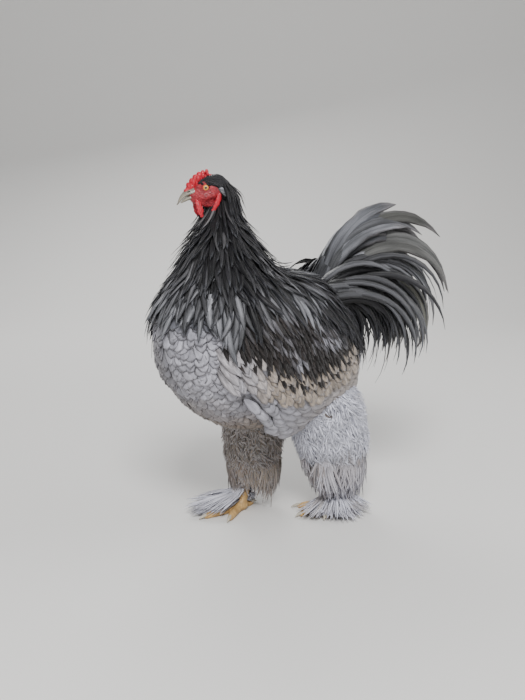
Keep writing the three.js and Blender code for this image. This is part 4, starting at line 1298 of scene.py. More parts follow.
@dataclass
class Wing:
    """The folded wings: dark bow, tan bar of coverts and pale laced quills."""

    body: Body
    weaver: Weaver
    effects: Effects
    steps: int = 6
    tuck: float = 20.0
    rng: np.random.Generator = field(default_factory=lambda: np.random.default_rng(77))
    outline: Stations = field(default_factory=lambda: Stations([
        [-224, 392, 330, 1], [-205, 422, 276, 7], [-165, 440, 226, 11], [-110, 436, 200, 13],
        [-50, 420, 204, 12], [10, 390, 222, 9], [60, 348, 250, 6], [106, 296, 276, 2]]))

    def place(self, side: float, x: Array, z: Array, out: Array | float) -> Array:
        """Points on a wing's outer face, some way out from it.

        Args:
            side: 1 for the right wing, -1 for the left.
            x: Place along the bird.
            z: Height.
            out: How far out.

        Returns:
            The points.
        """
        middle, wide, high = self.body.trunk.at(x)
        bulge = self.outline.at(x)[2]
        down = np.minimum(0.97, np.abs(z - middle) / (1.32 * high))
        y = (wide + bulge) * (1 - down ** 2.6) ** (1 / 2.6) + out
        return np.stack([x, side * y, z], -1)

    def facing(self, side: float, x: Array, z: Array) -> Array:
        """The way a wing's outer face looks.

        Args:
            side: 1 for the right wing, -1 for the left.
            x: Place along the bird.
            z: Height.

        Returns:
            Unit vectors.
        """
        here = self.place(side, x, z, 0.0)
        east = self.place(side, x + 4, z, 0.0) - here
        north = self.place(side, x, z + 4, 0.0) - here
        normal = unit(np.cross(east, north))
        return normal * np.sign(normal[..., 1:2] * side)

    def feathers(self, side: float, x: Array, z: Array, angle: Array, bend: Array, long: Array,
                 out: tuple[float, float]) -> tuple[Array, Array]:
        """Paths of feathers that lie on a wing.

        Args:
            side: 1 for the right wing, -1 for the left.
            x: Root along the bird.
            z: Height of the root.
            angle: Heading in degrees above straight back, at the root.
            bend: How far the heading turns up towards the tip.
            long: Length of each.
            out: Height over the wing at root and tip.

        Returns:
            Points along each, and the way its face looks.
        """
        paths, ups = [], []
        lift = self.rng.normal(0, 1.2, len(x))
        sunk = 18 * smooth(385, 425, z) + 8 * smooth(-190, -225, x)
        for i in range(self.steps + 1):
            t = i / self.steps
            height = lerp(out[0], out[1], t ** 0.8) + lift * t - sunk * (1 - t)
            height = height - self.tuck * smooth(262, 196, z)
            paths.append(self.place(side, x, z, height))
            ups.append(self.facing(side, x, z))
            heading = np.radians(angle + bend * t)
            x = x + np.cos(heading) * long / self.steps
            z = z + np.sin(heading) * long / self.steps
        return np.stack(paths, 1), np.stack(ups, 1)

    def roots(self, spacing: float, row: float, keep: Callable[[Array, Array], Array]) -> tuple[Array, Array]:
        """Staggered roots over the wing's outline where a rule keeps them.

        Args:
            spacing: Space along a row.
            row: Space between rows.
            keep: The rule, from place along the bird and height.

        Returns:
            Place along the bird and height of each root.
        """
        xs, zs = [], []
        for index, z in enumerate(np.arange(190, 446, row)):
            x = np.arange(-240, 110, spacing) + (index % 2) * spacing / 2
            x = x + self.rng.normal(0, spacing * 0.12, len(x))
            xs.append(x)
            zs.append(np.full(len(x), z) + self.rng.normal(0, row * 0.15, len(x)))
        x, z = np.concatenate(xs), np.concatenate(zs)
        upper, lower, _ = self.outline.at(x)
        good = (z < upper + 4) & (z > lower - 4) & keep(x, z)
        return x[good], z[good]

    def build(self) -> None:
        """Lay the three kinds of feathers on both wings."""
        bow_edge = Stations([[-262, 392], [-180, 352], [-100, 318], [-23, 336], [60, 356]])
        bar_edge = Stations([[-255, 340], [-159, 296], [-60, 290], [10, 306], [106, 330]])
        kinds = (
            ("quills", FeatherShape.BODY, 8, 20, 11, lambda x, z: z < bar_edge.at(x)[0] + 8),
            ("coverts", FeatherShape.BODY, 8, 15, 10,
             lambda x, z: (z > bar_edge.at(x)[0] - 2) & (z < bow_edge.at(x)[0] + 14)),
            ("bow", FeatherShape.HACKLE, 4, 8.5, 8, lambda x, z: z > bow_edge.at(x)[0] + 4),
        )
        for kind, shape, sides, spacing, row, keep in kinds:
            tract = Tract(shape, 0.6, 0.16, sides, 0.05)
            for side in (-1, 1):
                x, z = self.roots(spacing, row, keep)
                count = len(x)
                even = np.ones(count)
                noise = self.rng.standard_normal(count)
                if kind == "quills":
                    angle = np.interp(x, [-240, -160, -60, 60], [-66, -38, -12, -14]) + 4 * noise
                    bend, out = 8 * even, (2.0, 7.0)
                    long = np.interp(x, [-210, -90], [37, 46]) + 4 * noise
                    wide = np.interp(x, [-210, -90], [19, 27])
                    tone = Shade.LAVENDER.light * (0.95 + 0.12 * noise[:, None])
                    warm = smooth(-150, 20, x)[:, None] * 0.75
                    tone = tint(tone, Shade.TAN.light, warm)
                elif kind == "coverts":
                    angle = np.interp(x, [-240, -100, 60], [-72, -66, -48]) + 5 * noise
                    bend, long, wide, out = 10 * even, 46 + 5 * noise, 19 + 2 * noise, (4.0, 11.0)
                    tone = Shade.TAN.light * (0.85 + 0.14 * noise[:, None])
                    front = smooth(-170, -225, x)[:, None] * 0.7
                    tone = tint(tone, Shade.LAVENDER.light, front)
                else:
                    angle = np.interp(x, [-240, -100, 60], [-84, -80, -62]) + 7 * noise
                    bend, long, wide, out = 8 * even, 50 + 9 * noise, 12 + 2 * noise, (0.0, 12.0)
                    tone = Shade.UMBER.light * (0.3 + 0.15 * np.abs(noise[:, None]))
                    pale = (self.rng.random(count) < 0.05 + 0.25 * smooth(372, 400, z)).astype(float)
                    pale = (pale * self.rng.random(count) * 0.3)[:, None]
                    tone = tint(tone, Shade.LAVENDER.light, pale)
                    fleck = np.exp(-(((x + 118) / 9) ** 2 + ((z - 372) / 11) ** 2))[:, None]
                    fleck = fleck + 0.4 * np.exp(-(((x + 34) / 26) ** 2 + ((z - 398) / 9) ** 2))[:, None]
                    tone = tone + Shade.SILVER.light * np.clip(fleck, 0, 0.9)
                paths, ups = self.feathers(side, x, z, angle, bend, long, out)
                tract.add(paths, ups, wide, tone, self.spread(side, x, z))
            nodes = ("wing_left", "wing_right") if kind == "quills" else ()
            material = self.effects.coat(kind)
            tract.weave(self.weaver, f"wing_{kind}", "wing_feathers", material, nodes, 19)

    @staticmethod
    def spread(side: float, x: Array, z: Array) -> Array:
        """Places on the bake map: one wing above the other."""
        v = 0.02 + 0.46 * np.clip((z - 180) / 280, 0, 1) + (0.5 if side > 0 else 0.0)
        return np.stack([0.01 + 0.98 * np.clip((x + 250) / 380, 0, 1), v], 1)


@dataclass
class Tail:
    """Main tail vanes, arched sickles and the coverts that fall over them."""

    weaver: Weaver
    effects: Effects
    vanes: int = 9
    sickles: int = 64
    coverts: int = 250
    rng: np.random.Generator = field(default_factory=lambda: np.random.default_rng(9))

    @staticmethod
    def arch(root: Array, rise: Array, bend: Array, aside: Array, long: Array,
             roll: Array, steps: int, ease: float = 1.2) -> tuple[Array, Array]:
        """Feathers that rise and then bend down.

        Args:
            root: Root of each.
            rise: Degrees above level at the root.
            bend: Degrees that each turns down by its tip.
            aside: Degrees towards the left or right.
            long: Length of each.
            roll: Degrees by which the upper face turns to the side.
            steps: Parts along each.
            ease: How late the bend comes.

        Returns:
            Points along each, and the way its face looks.
        """
        p, paths, ups = root.copy(), [root.copy()], []
        fine = 4
        out = np.radians(aside)
        side = np.where(root[:, 1] < 0, -1.0, 1.0)
        for i in range(steps + 1):
            up = np.radians(rise - bend * (i / steps) ** ease)
            face = np.stack([-np.sin(up) * np.cos(out), -np.sin(up) * np.sin(out), np.cos(up)], 1)
            flank = np.stack([-np.sin(out), np.cos(out), np.zeros_like(out)], 1) * side[:, None]
            turn = np.radians(roll)[:, None]
            ups.append(face * np.cos(turn) + flank * np.sin(turn))
            if i == steps:
                break
            for j in range(fine):
                up = np.radians(rise - bend * ((i + (j + 0.5) / fine) / steps) ** ease)
                way = np.stack([np.cos(up) * np.cos(out), np.cos(up) * np.sin(out), np.sin(up)], 1)
                p = p + way * (long / (steps * fine))[:, None]
            paths.append(p.copy())
        return np.stack(paths, 1), np.stack(ups, 1)

    @staticmethod
    def unwrap(p: Array, rise: Array) -> Array:
        """Places on the bake map: across the tail's root and by how steeply feathers rise."""
        return np.stack([np.clip(0.5 + p[:, 1] / 120, 0.01, 0.99), np.clip((rise + 40) / 130, 0.01, 0.99)], 1)

    def build(self) -> None:
        """Lay the tail's feathers from the inside out."""
        main = Tract(FeatherShape.VANE, 1.0, 0.14, 8, 0.03)
        sickle = Tract(FeatherShape.SICKLE, 0.8, 0.2, 8, 0.06)
        lesser = Tract(FeatherShape.HACKLE, 0.6, 0.2, 4, 0.08)
        guide = Stations([[0, 66, 10, 452, 52, 52, 7, 190, 40], [1, 84, 16, 448, 64, 112, 9, 345, 44],
                          [2, 90, 24, 436, 54, 150, 13, 375, 46], [3, 86, 30, 428, 48, 160, 17, 320, 42],
                          [4, 76, 36, 418, 38, 148, 20, 270, 40], [5, 66, 42, 408, 24, 122, 23, 225, 38]])
        for side in (-1, 1):
            k = np.linspace(0, 3.4, self.vanes)
            root = np.stack([96 + 3 * k, side * (4 + 5 * k), 424 - 8 * k], 1)
            paths, ups = self.arch(root, 52 - 12 * k, 20 + 0 * k, side * (5 + 7 * k), 205 - 8 * k, 68 - 4 * k,
                                   10)
            tone = np.repeat(Shade.SLATE.light[None] * 0.7, len(k), 0)
            main.add(paths, ups, 46 + 0 * k, tone, self.unwrap(root, 52 - 12 * k))
            count = self.sickles
            k = np.sort(5.0 * self.rng.random(count) ** 0.9)
            x, y, z, rise, bend, aside, long, wide = guide.at(k)
            noise = self.rng.standard_normal((6, count))
            root = np.stack([x + 5 * noise[0], side * np.abs(y + 5 * noise[1]), z + 4 * noise[2]], 1)
            long = long * (1 - 0.28 * self.rng.random(count))
            rise = rise + 6 * noise[3]
            paths, ups = self.arch(root, rise, bend + 12 * noise[4], side * (aside + 4 * noise[5]), long,
                                   50 + 8 * noise[0], 14)
            mixing = self.rng.random((count, 1))
            tone = tint(Shade.SLATE.light * 0.55, Shade.PEWTER.light * 0.8, mixing)
            olive = (smooth(0.6, 3.0, k) * self.rng.random(count) * 0.8)[:, None]
            tone = tint(tone, Shade.OLIVE.light * 0.8, olive)
            tone = tone * (0.55 + 0.8 * self.rng.random((count, 1)))
            sickle.add(paths, ups, wide * (0.55 + 0.4 * self.rng.random(count)), tone, self.unwrap(root, rise))
            count = self.coverts
            t = self.rng.random(count)
            noise = self.rng.standard_normal((4, count))
            root = np.stack([lerp(10, 88, t) + 6 * noise[0], side * np.abs(lerp(62, 22, t) + 14 * noise[1]),
                             lerp(444, 446, t) - np.abs(14 * noise[1])], 1)
            rise = lerp(14, 50, t) + 7 * noise[2]
            hanging = self.rng.random(count) < 0.34
            long = lerp(196, 246, t) * (0.78 + 0.25 * self.rng.random(count)) * (1 + 0.42 * hanging)
            bend = lerp(116, 140, t) + 8 * noise[3] + 8 * hanging
            aside = side * (24 - 8 * t + 5 * noise[0])
            paths, ups = self.arch(root, rise, bend, aside, long, 42 + 8 * noise[1], 13)
            grey = ((smooth(0.55, 1.0, t) + 0.5 * hanging) * self.rng.random(count))[:, None]
            tone = tint(Shade.INK.light, Shade.PEWTER.light, grey)
            lesser.add(paths, ups, 15 + 3 * self.rng.random(count), tone, self.unwrap(root, rise))
        for tract, key, name, slot, nodes, seed in (
            (main, "vanes", "tail_vanes", "tail_feathers", ("tail",), 21),
            (sickle, "sickles", "sickles", "tail_feathers", ("sickles_left", "sickles_right"), 22),
            (lesser, "tail_coverts", "tail_coverts", "saddle_feathers", (), 23),
        ):
            tract.weave(self.weaver, name, slot, self.effects.coat(key), nodes, seed)


class Skull(Body):
    """The head's flesh as a field, in the head's own frame: the bill points to -X."""

    rows = Stations([[-35, -5, 8, 9], [-29, -4, 11, 14], [-19, -2, 15.5, 20], [-7, 0, 18.5, 23.5],
                     [6, 1, 20.5, 25], [19, 0, 20.5, 24.5], [30, -4, 17, 21], [37, -8, 9, 12]])
    eye = (-9.0, 14.2, 6.5)

    def bone(self, p: Array) -> Array:
        """Distance from the plain skull.

        Args:
            p: Points, one a row.

        Returns:
            Millimetres, negative inside.
        """
        x = np.clip(p[:, 0], -31, 33)
        middle, wide, high = self.rows.at(x)
        off = p - np.stack([x, 0 * x, middle], 1)
        return depth(off, np.hypot(off[:, 1] / wide, off[:, 2] / high) + (off[:, 0] / 9) ** 2)

    def field(self, p: Array) -> Array:
        """The skull with its cheeks and brows.

        Args:
            p: Points, one a row.

        Returns:
            Millimetres, negative inside.
        """
        q = np.stack([p[:, 0], np.abs(p[:, 1]), p[:, 2]], 1)
        level = self.bone(q)
        brow = chain(q, [(-24, 11, 10), (-12, 15.5, 15.5), (2, 17.5, 15), (9, 18.5, 9)], [1.5, 2.4, 2.2, 1.0])
        level = self.blend(level, brow, 5.0)
        cheek = chain(q, [(-24, 9, -8), (-12, 14, -10), (2, 17, -8)], [3.0, 4.5, 3.5])
        level = self.blend(level, cheek, 6.0)
        throat = chain(q, [(-26, 2, -14), (-14, 4, -20), (4, 5, -26)], [4.5, 6.0, 7.0])
        return self.blend(level, throat, 8.0)

    def face(self, p: Array) -> Array:
        """The field with eye sockets, lids and folds.

        Args:
            p: Points, one a row.

        Returns:
            Millimetres, negative inside.
        """
        q = np.stack([p[:, 0], np.abs(p[:, 1]), p[:, 2]], 1)
        level = self.field(p)
        off = q - np.array(self.eye)
        x, z = q[:, 0], q[:, 2]
        folds = np.sin(x * 0.9 + 1.7 * np.sin(z * 0.45)) * np.sin(z * 1.15 + 0.8 * np.sin(x * 0.5))
        level = level - 0.4 * folds * smooth(6, 11, np.hypot(off[:, 0], off[:, 2])) * smooth(14, 6, x)
        socket = 7.3 - np.linalg.norm(off * np.array([1.0, 0.75, 1.15]), axis=1)
        level = -self.blend(-level, -socket, 1.2)
        for radius, height, thick in ((6.7, 3.2, 1.15), (9.2, 2.0, 0.85)):
            ring = np.hypot(off[:, 0], off[:, 2] * np.where(off[:, 2] > 0, 1.12, 1.2)) - radius
            rim = np.hypot(ring, off[:, 1] - height + 0.015 * off[:, 0] ** 2) - thick
            level = self.blend(level, rim, 1.1)
        return level


@dataclass
class Head:
    """Face, comb, wattles, lobes, bill, eyes and the small feathers of the cap."""

    weaver: Weaver
    effects: Effects
    skull: Skull = field(default_factory=Skull)
    eye_radius: float = 6.2
    cap_feathers: int = 5200
    rng: np.random.Generator = field(default_factory=lambda: np.random.default_rng(31))

    def turn(self, vectors: Array) -> Array:
        """Turn vectors of the head's frame into the bird's.

        Args:
            vectors: Vectors, along the last axis.

        Returns:
            The turned vectors.
        """
        nod, head = math.radians(-HEAD_NOD), math.radians(-HEAD_TURN)
        c, s = math.cos(nod), math.sin(nod)
        about_y = np.array([[c, 0, s], [0, 1, 0], [-s, 0, c]])
        c, s = math.cos(head), math.sin(head)
        about_z = np.array([[c, -s, 0], [s, c, 0], [0, 0, 1]])
        return vectors @ (about_z @ about_y).T

    def put(self, points: Array) -> Array:
        """Points of the head's frame in the bird's."""
        return self.turn(points) + np.array(HEAD_AT)

    def solid(self, name: str, level: Level, low: Sequence[float], high: Sequence[float], voxel: float,
              slot: str, material: Material) -> None:
        """Cast one fleshy or horny piece and write it.

        Args:
            name: The piece's name, which is also that of the solid it stands for.
            level: Its field.
            low: Lower corner of the box it lies in.
            high: Upper corner of that box.
            voxel: Size of a cell.
            slot: The record's material slot.
            material: Its material.
        """
        points, faces = cast(level, low, high, voxel)
        bake = chart(points, (-70, -60), (120, 100))
        self.weaver.write(name, self.put(points), [faces], slot, material, (name,), bake=bake)

    def build(self) -> None:
        """Make every piece of the head."""
        face, flesh, bill = (self.effects.bare(key) for key in ("face", "comb", "bill"))
        self.solid("head", self.skull.face, (-42, -26, -40), (44, 26, 32), 1.0, "face_skin", face)
        self.solid("comb", self.comb, (-52, -14, -2), (16, 14, 40), 0.7, "comb", flesh)
        for name, side in (("left", -1), ("right", 1)):
            self.solid(f"wattle_{name}", lambda p, s=side: self.wattle(p, s), (-40, -24, -54), (-14, 24, -6),
                       0.8, "comb", flesh)
            self.solid(f"ear_lobe_{name}", lambda p, s=side: self.lobe(p, s), (-18, -30, -46), (22, 30, 2),
                       0.8, "comb", flesh)
            self.eyeball(name, side)
        self.solid("bill_upper", self.bill_upper, (-70, -13, -22), (-24, 13, 14), 0.6, "bill", bill)
        self.solid("bill_lower", self.bill_lower, (-60, -11, -20), (-22, 11, 0), 0.6, "bill", bill)
        self.cap()

    def comb(self, p: Array) -> Array:
        """Three rows of peas on one low base.

        Args:
            p: Points, one a row.

        Returns:
            Millimetres, negative inside.
        """
        def ridge(t: float) -> tuple[float, float]:
            """Place of the comb's line along X and its height."""
            return lerp(-41, 6, t), 5 + 22 * math.sin(math.radians(lerp(8, 88, t)))
        spine = [(ridge(t)[0], 0, ridge(t)[1] - 3) for t in np.linspace(0, 1, 7)]
        level = chain(p, spine, [5.0, 5.6, 6.0, 6.2, 6.0, 5.2, 4.0], 1.0)
        for y, count, size, high in ((0, 6, 6.2, 5.6), (6.2, 5, 5.0, 2.4), (-6.2, 5, 5.0, 2.4)):
            for i in range(count):
                t = (i + 0.5) / count
                x, z = ridge(lerp(0.02, 0.98, t))
                big = size * (0.62 + 0.42 * math.sin(math.pi * min(1, t * 1.15)))
                off = p - np.array([x, y * (0.5 + 0.5 * t), z + high * (0.55 + 0.6 * t)])
                pea = np.linalg.norm(off * np.array([1.05, 1.0, 0.72]), axis=1) - big * 0.86
                level = self.skull.blend(level, pea, 1.4)
        return level - 0.25 * np.sin(p[:, 0] * 2.3) * np.sin(p[:, 1] * 2.1) * np.sin(p[:, 2] * 2.2)

    def wattle(self, p: Array, side: int) -> Array:
        """One rounded, thin, hanging wattle.

        Args:
            p: Points, one a row.
            side: 1 for the right, -1 for the left.

        Returns:
            Millimetres, negative inside.
        """
        path = [(-27, 9.5 * side, -13), (-26, 11.5 * side, -22), (-25, 12.5 * side, -32),
                (-24, 12.5 * side, -41)]
        level = chain(p, path, [3.6, 5.2, 5.8, 3.0], 0.42)
        return level - 0.3 * np.sin(p[:, 0] * 1.3 + 0.6 * np.sin(p[:, 2])) * np.sin(p[:, 2] * 0.8)

    def lobe(self, p: Array, side: int) -> Array:
        """One long ear lobe along the back of the cheek.

        Args:
            p: Points, one a row.
            side: 1 for the right, -1 for the left.

        Returns:
            Millimetres, negative inside.
        """
        path = [(13, 18 * side, -8), (10, 19.8 * side, -16), (5, 19.5 * side, -25), (-1, 17.5 * side, -33),
                (-7, 14.5 * side, -40)]
        level = chain(p, path, [3.4, 4.8, 4.4, 3.4, 1.8], 0.55)
        return level - 0.3 * np.sin(p[:, 0] * 1.1 + p[:, 2] * 0.9) * np.sin(p[:, 2] * 0.5)

    def bill_upper(self, p: Array) -> Array:
        """The hooked upper bill with its nostrils.

        Args:
            p: Points, one a row.

        Returns:
            Millimetres, negative inside.
        """
        rows = Stations([[-61, -15.5, 1.2, 2], [-58, -11.5, 3.2, 4.4], [-53, -6.5, 5.4, 6.2],
                         [-46, -2.0, 7.4, 7.6], [-38, 0.5, 9.0, 8.6], [-28, 1.5, 10.2, 9.2]])
        x = np.clip(p[:, 0], -60.6, -27)
        middle, wide, high = rows.at(x)
        off = p - np.stack([x, 0 * x, middle], 1)
        rise = off[:, 2] / np.where(off[:, 2] > 0, high, high * 0.45)
        share = (np.abs(off[:, 1] / wide) ** 1.7 + np.abs(rise) ** 1.7) ** (1 / 1.7) + (off[:, 0] / 2.5) ** 2
        level = depth(off, share, 0.1)
        q = np.stack([p[:, 0], np.abs(p[:, 1]), p[:, 2]], 1)
        hole = 1.5 - np.linalg.norm((q - np.array([-38.5, 6.6, 3.4])) * np.array([0.5, 0.8, 1.1]), axis=1)
        return -self.skull.blend(-level, -hole, 0.7)

    def bill_lower(self, p: Array) -> Array:
        """The shorter lower bill.

        Args:
            p: Points, one a row.

        Returns:
            Millimetres, negative inside.
        """
        rows = Stations([[-54, -12.6, 2.0, 1.6], [-47, -9.6, 4.8, 3.0], [-38, -7.2, 6.8, 3.8],
                         [-28, -6.0, 8.0, 3.8]])
        x = np.clip(p[:, 0], -53.4, -25)
        middle, wide, high = rows.at(x)
        off = p - np.stack([x, 0 * x, middle], 1)
        return depth(off, np.hypot(off[:, 1] / wide, off[:, 2] / high) + (off[:, 0] / 2.0) ** 2, 0.1)

    def eyeball(self, name: str, side: int) -> None:
        """A round eye whose pupil looks to the side and a little ahead.

        Args:
            name: left or right.
            side: 1 for the right, -1 for the left.
        """
        rings, sides = 40, 48
        angle = np.linspace(0, math.pi, rings)
        around = 2 * math.pi * np.arange(sides) / sides
        bulge = self.eye_radius * (1 + 0.07 * np.exp(-((angle / 0.5) ** 2)))
        out, height = np.sin(angle) * bulge, np.cos(angle) * bulge
        local = np.stack([np.outer(out, np.cos(around)), np.outer(height, np.ones(sides)),
                          np.outer(out, np.sin(around))], -1).reshape(-1, 3)
        axis = unit(np.array([-0.22, side * 1.0, 0.05]))
        east = unit(np.cross(axis, [0.0, 0.0, 1.0]))
        north = np.cross(east, axis)
        points = local[:, :1] * east + local[:, 1:2] * axis + local[:, 2:] * north
        points = points + np.array([self.skull.eye[0], side * (self.skull.eye[1] + 0.5), self.skull.eye[2]])
        vane = np.stack([np.repeat(angle, sides), np.tile(around, rings), np.zeros(rings * sides)], 1)
        self.weaver.write(f"eye_{name}", self.put(points), [tube(rings, sides).reshape(-1, 4)], "eye",
                          EyeFinish().make(), (f"eye_{name}",), vane, bake=vane[:, :2] / np.array([3.2, 6.4]))

    def cap(self) -> None:
        """Small dark feathers over the top of the head, cheek and nape, and a grey tuft over the ear."""
        coat = Plumage(self.skull, self.weaver, self.effects)
        tract = Tract(FeatherShape.BODY, 0.3, 0.2, 3, 0.08)
        count = 11000
        sphere = unit(self.rng.standard_normal((count, 3))) * np.array([34.0, 22.0, 27.0])
        roots = self.skull.settle(sphere + np.array([3.0, 0.0, 0.0]), 0.0, 5)
        x, y, z = roots[:, 0], np.abs(roots[:, 1]), roots[:, 2]
        edge = np.interp(z, [-30, -12, 0, 7, 10.5, 13, 18, 26], [19, 15, 12, 8, 1, -21, -27, -28])
        edge = edge + self.rng.normal(0, 1.0, count)
        keep = (x > edge) & ((y > 4.5) | (x > 8))
        roots = roots[keep][:self.cap_feathers]
        count = len(roots)

        def flow(p: Array) -> Array:
            """Back over the head and down the nape."""
            down = smooth(0, 36, p[:, 0])
            return unit(np.stack([1.2 - 0.7 * down, 0.05 * np.sign(p[:, 1]), -0.25 - 1.3 * down], 1))

        size = smooth(-15, 30, roots[:, 0])
        lengths = (6.5 + 9 * size) * vary(self.rng, 0.15, count)
        paths, ups = coat.lay(roots, flow, lengths, (-0.6, 1.3), 4, lift=self.rng.normal(0.3, 0.5, count))
        tone = np.repeat(Shade.INK.light[None] * 0.8, count, 0) * (1 + 0.3 * self.rng.random((count, 1)))
        tuft = ((np.abs(roots[:, :1] - 15) < 5) & (np.abs(roots[:, 2:] - 1) < 4)).astype(float)
        paths = paths + ups * (tuft * np.linspace(0, 5.5, 5))[..., None]
        tone = tint(tone, Shade.PEWTER.light, tuft)
        widths = (2.8 + 2.4 * size) * vary(self.rng, 0.12, count)
        bake = chart(roots, (-40, -40), (90, 80))
        tract.add(self.put(paths.reshape(-1, 3)).reshape(paths.shape), self.turn(ups), widths, tone, bake)
        tract.weave(self.weaver, "head_cap", "hackle_feathers", self.effects.coat("cap"), (), 37)


@dataclass(frozen=True)
class EyeFinish:
    """Amber iris round a black pupil under a wet surface."""

    name: str = "Eye"

    def make(self) -> Material:
        """Build the material, or find it again for the second eye.

        Returns:
            The material.
        """
        made = bpy.data.materials.get(self.name)
        if made:
            return made
        made, net, shader = blank(self.name)
        angle, around, _ = net.split(net.attribute("Vane", "Vector"))
        place = net.vector(net.math("COSINE", around) * 6.0, net.math("SINE", around) * 6.0, angle * 1.5)
        streak = net.noise(place, 1.6, 3.0)
        colour = net.mix(net.step(streak, 0.3, 0.7), (0.55, 0.14, 0.02, 1), (0.85, 0.36, 0.06, 1))
        for start, end, tone in ((0.62, 0.45, (0.62, 0.40, 0.10, 1)), (0.86, 1.0, (0.03, 0.012, 0.008, 1)),
                                 (0.37, 0.33, (0.002, 0.002, 0.003, 1))):
            colour = net.mix(net.step(angle, start, end), colour, tone)
        net.fill(shader, {"Base Color": colour, "Roughness": 0.3, "Coat Weight": 0.35, "Coat Roughness": 0.03})
        return made


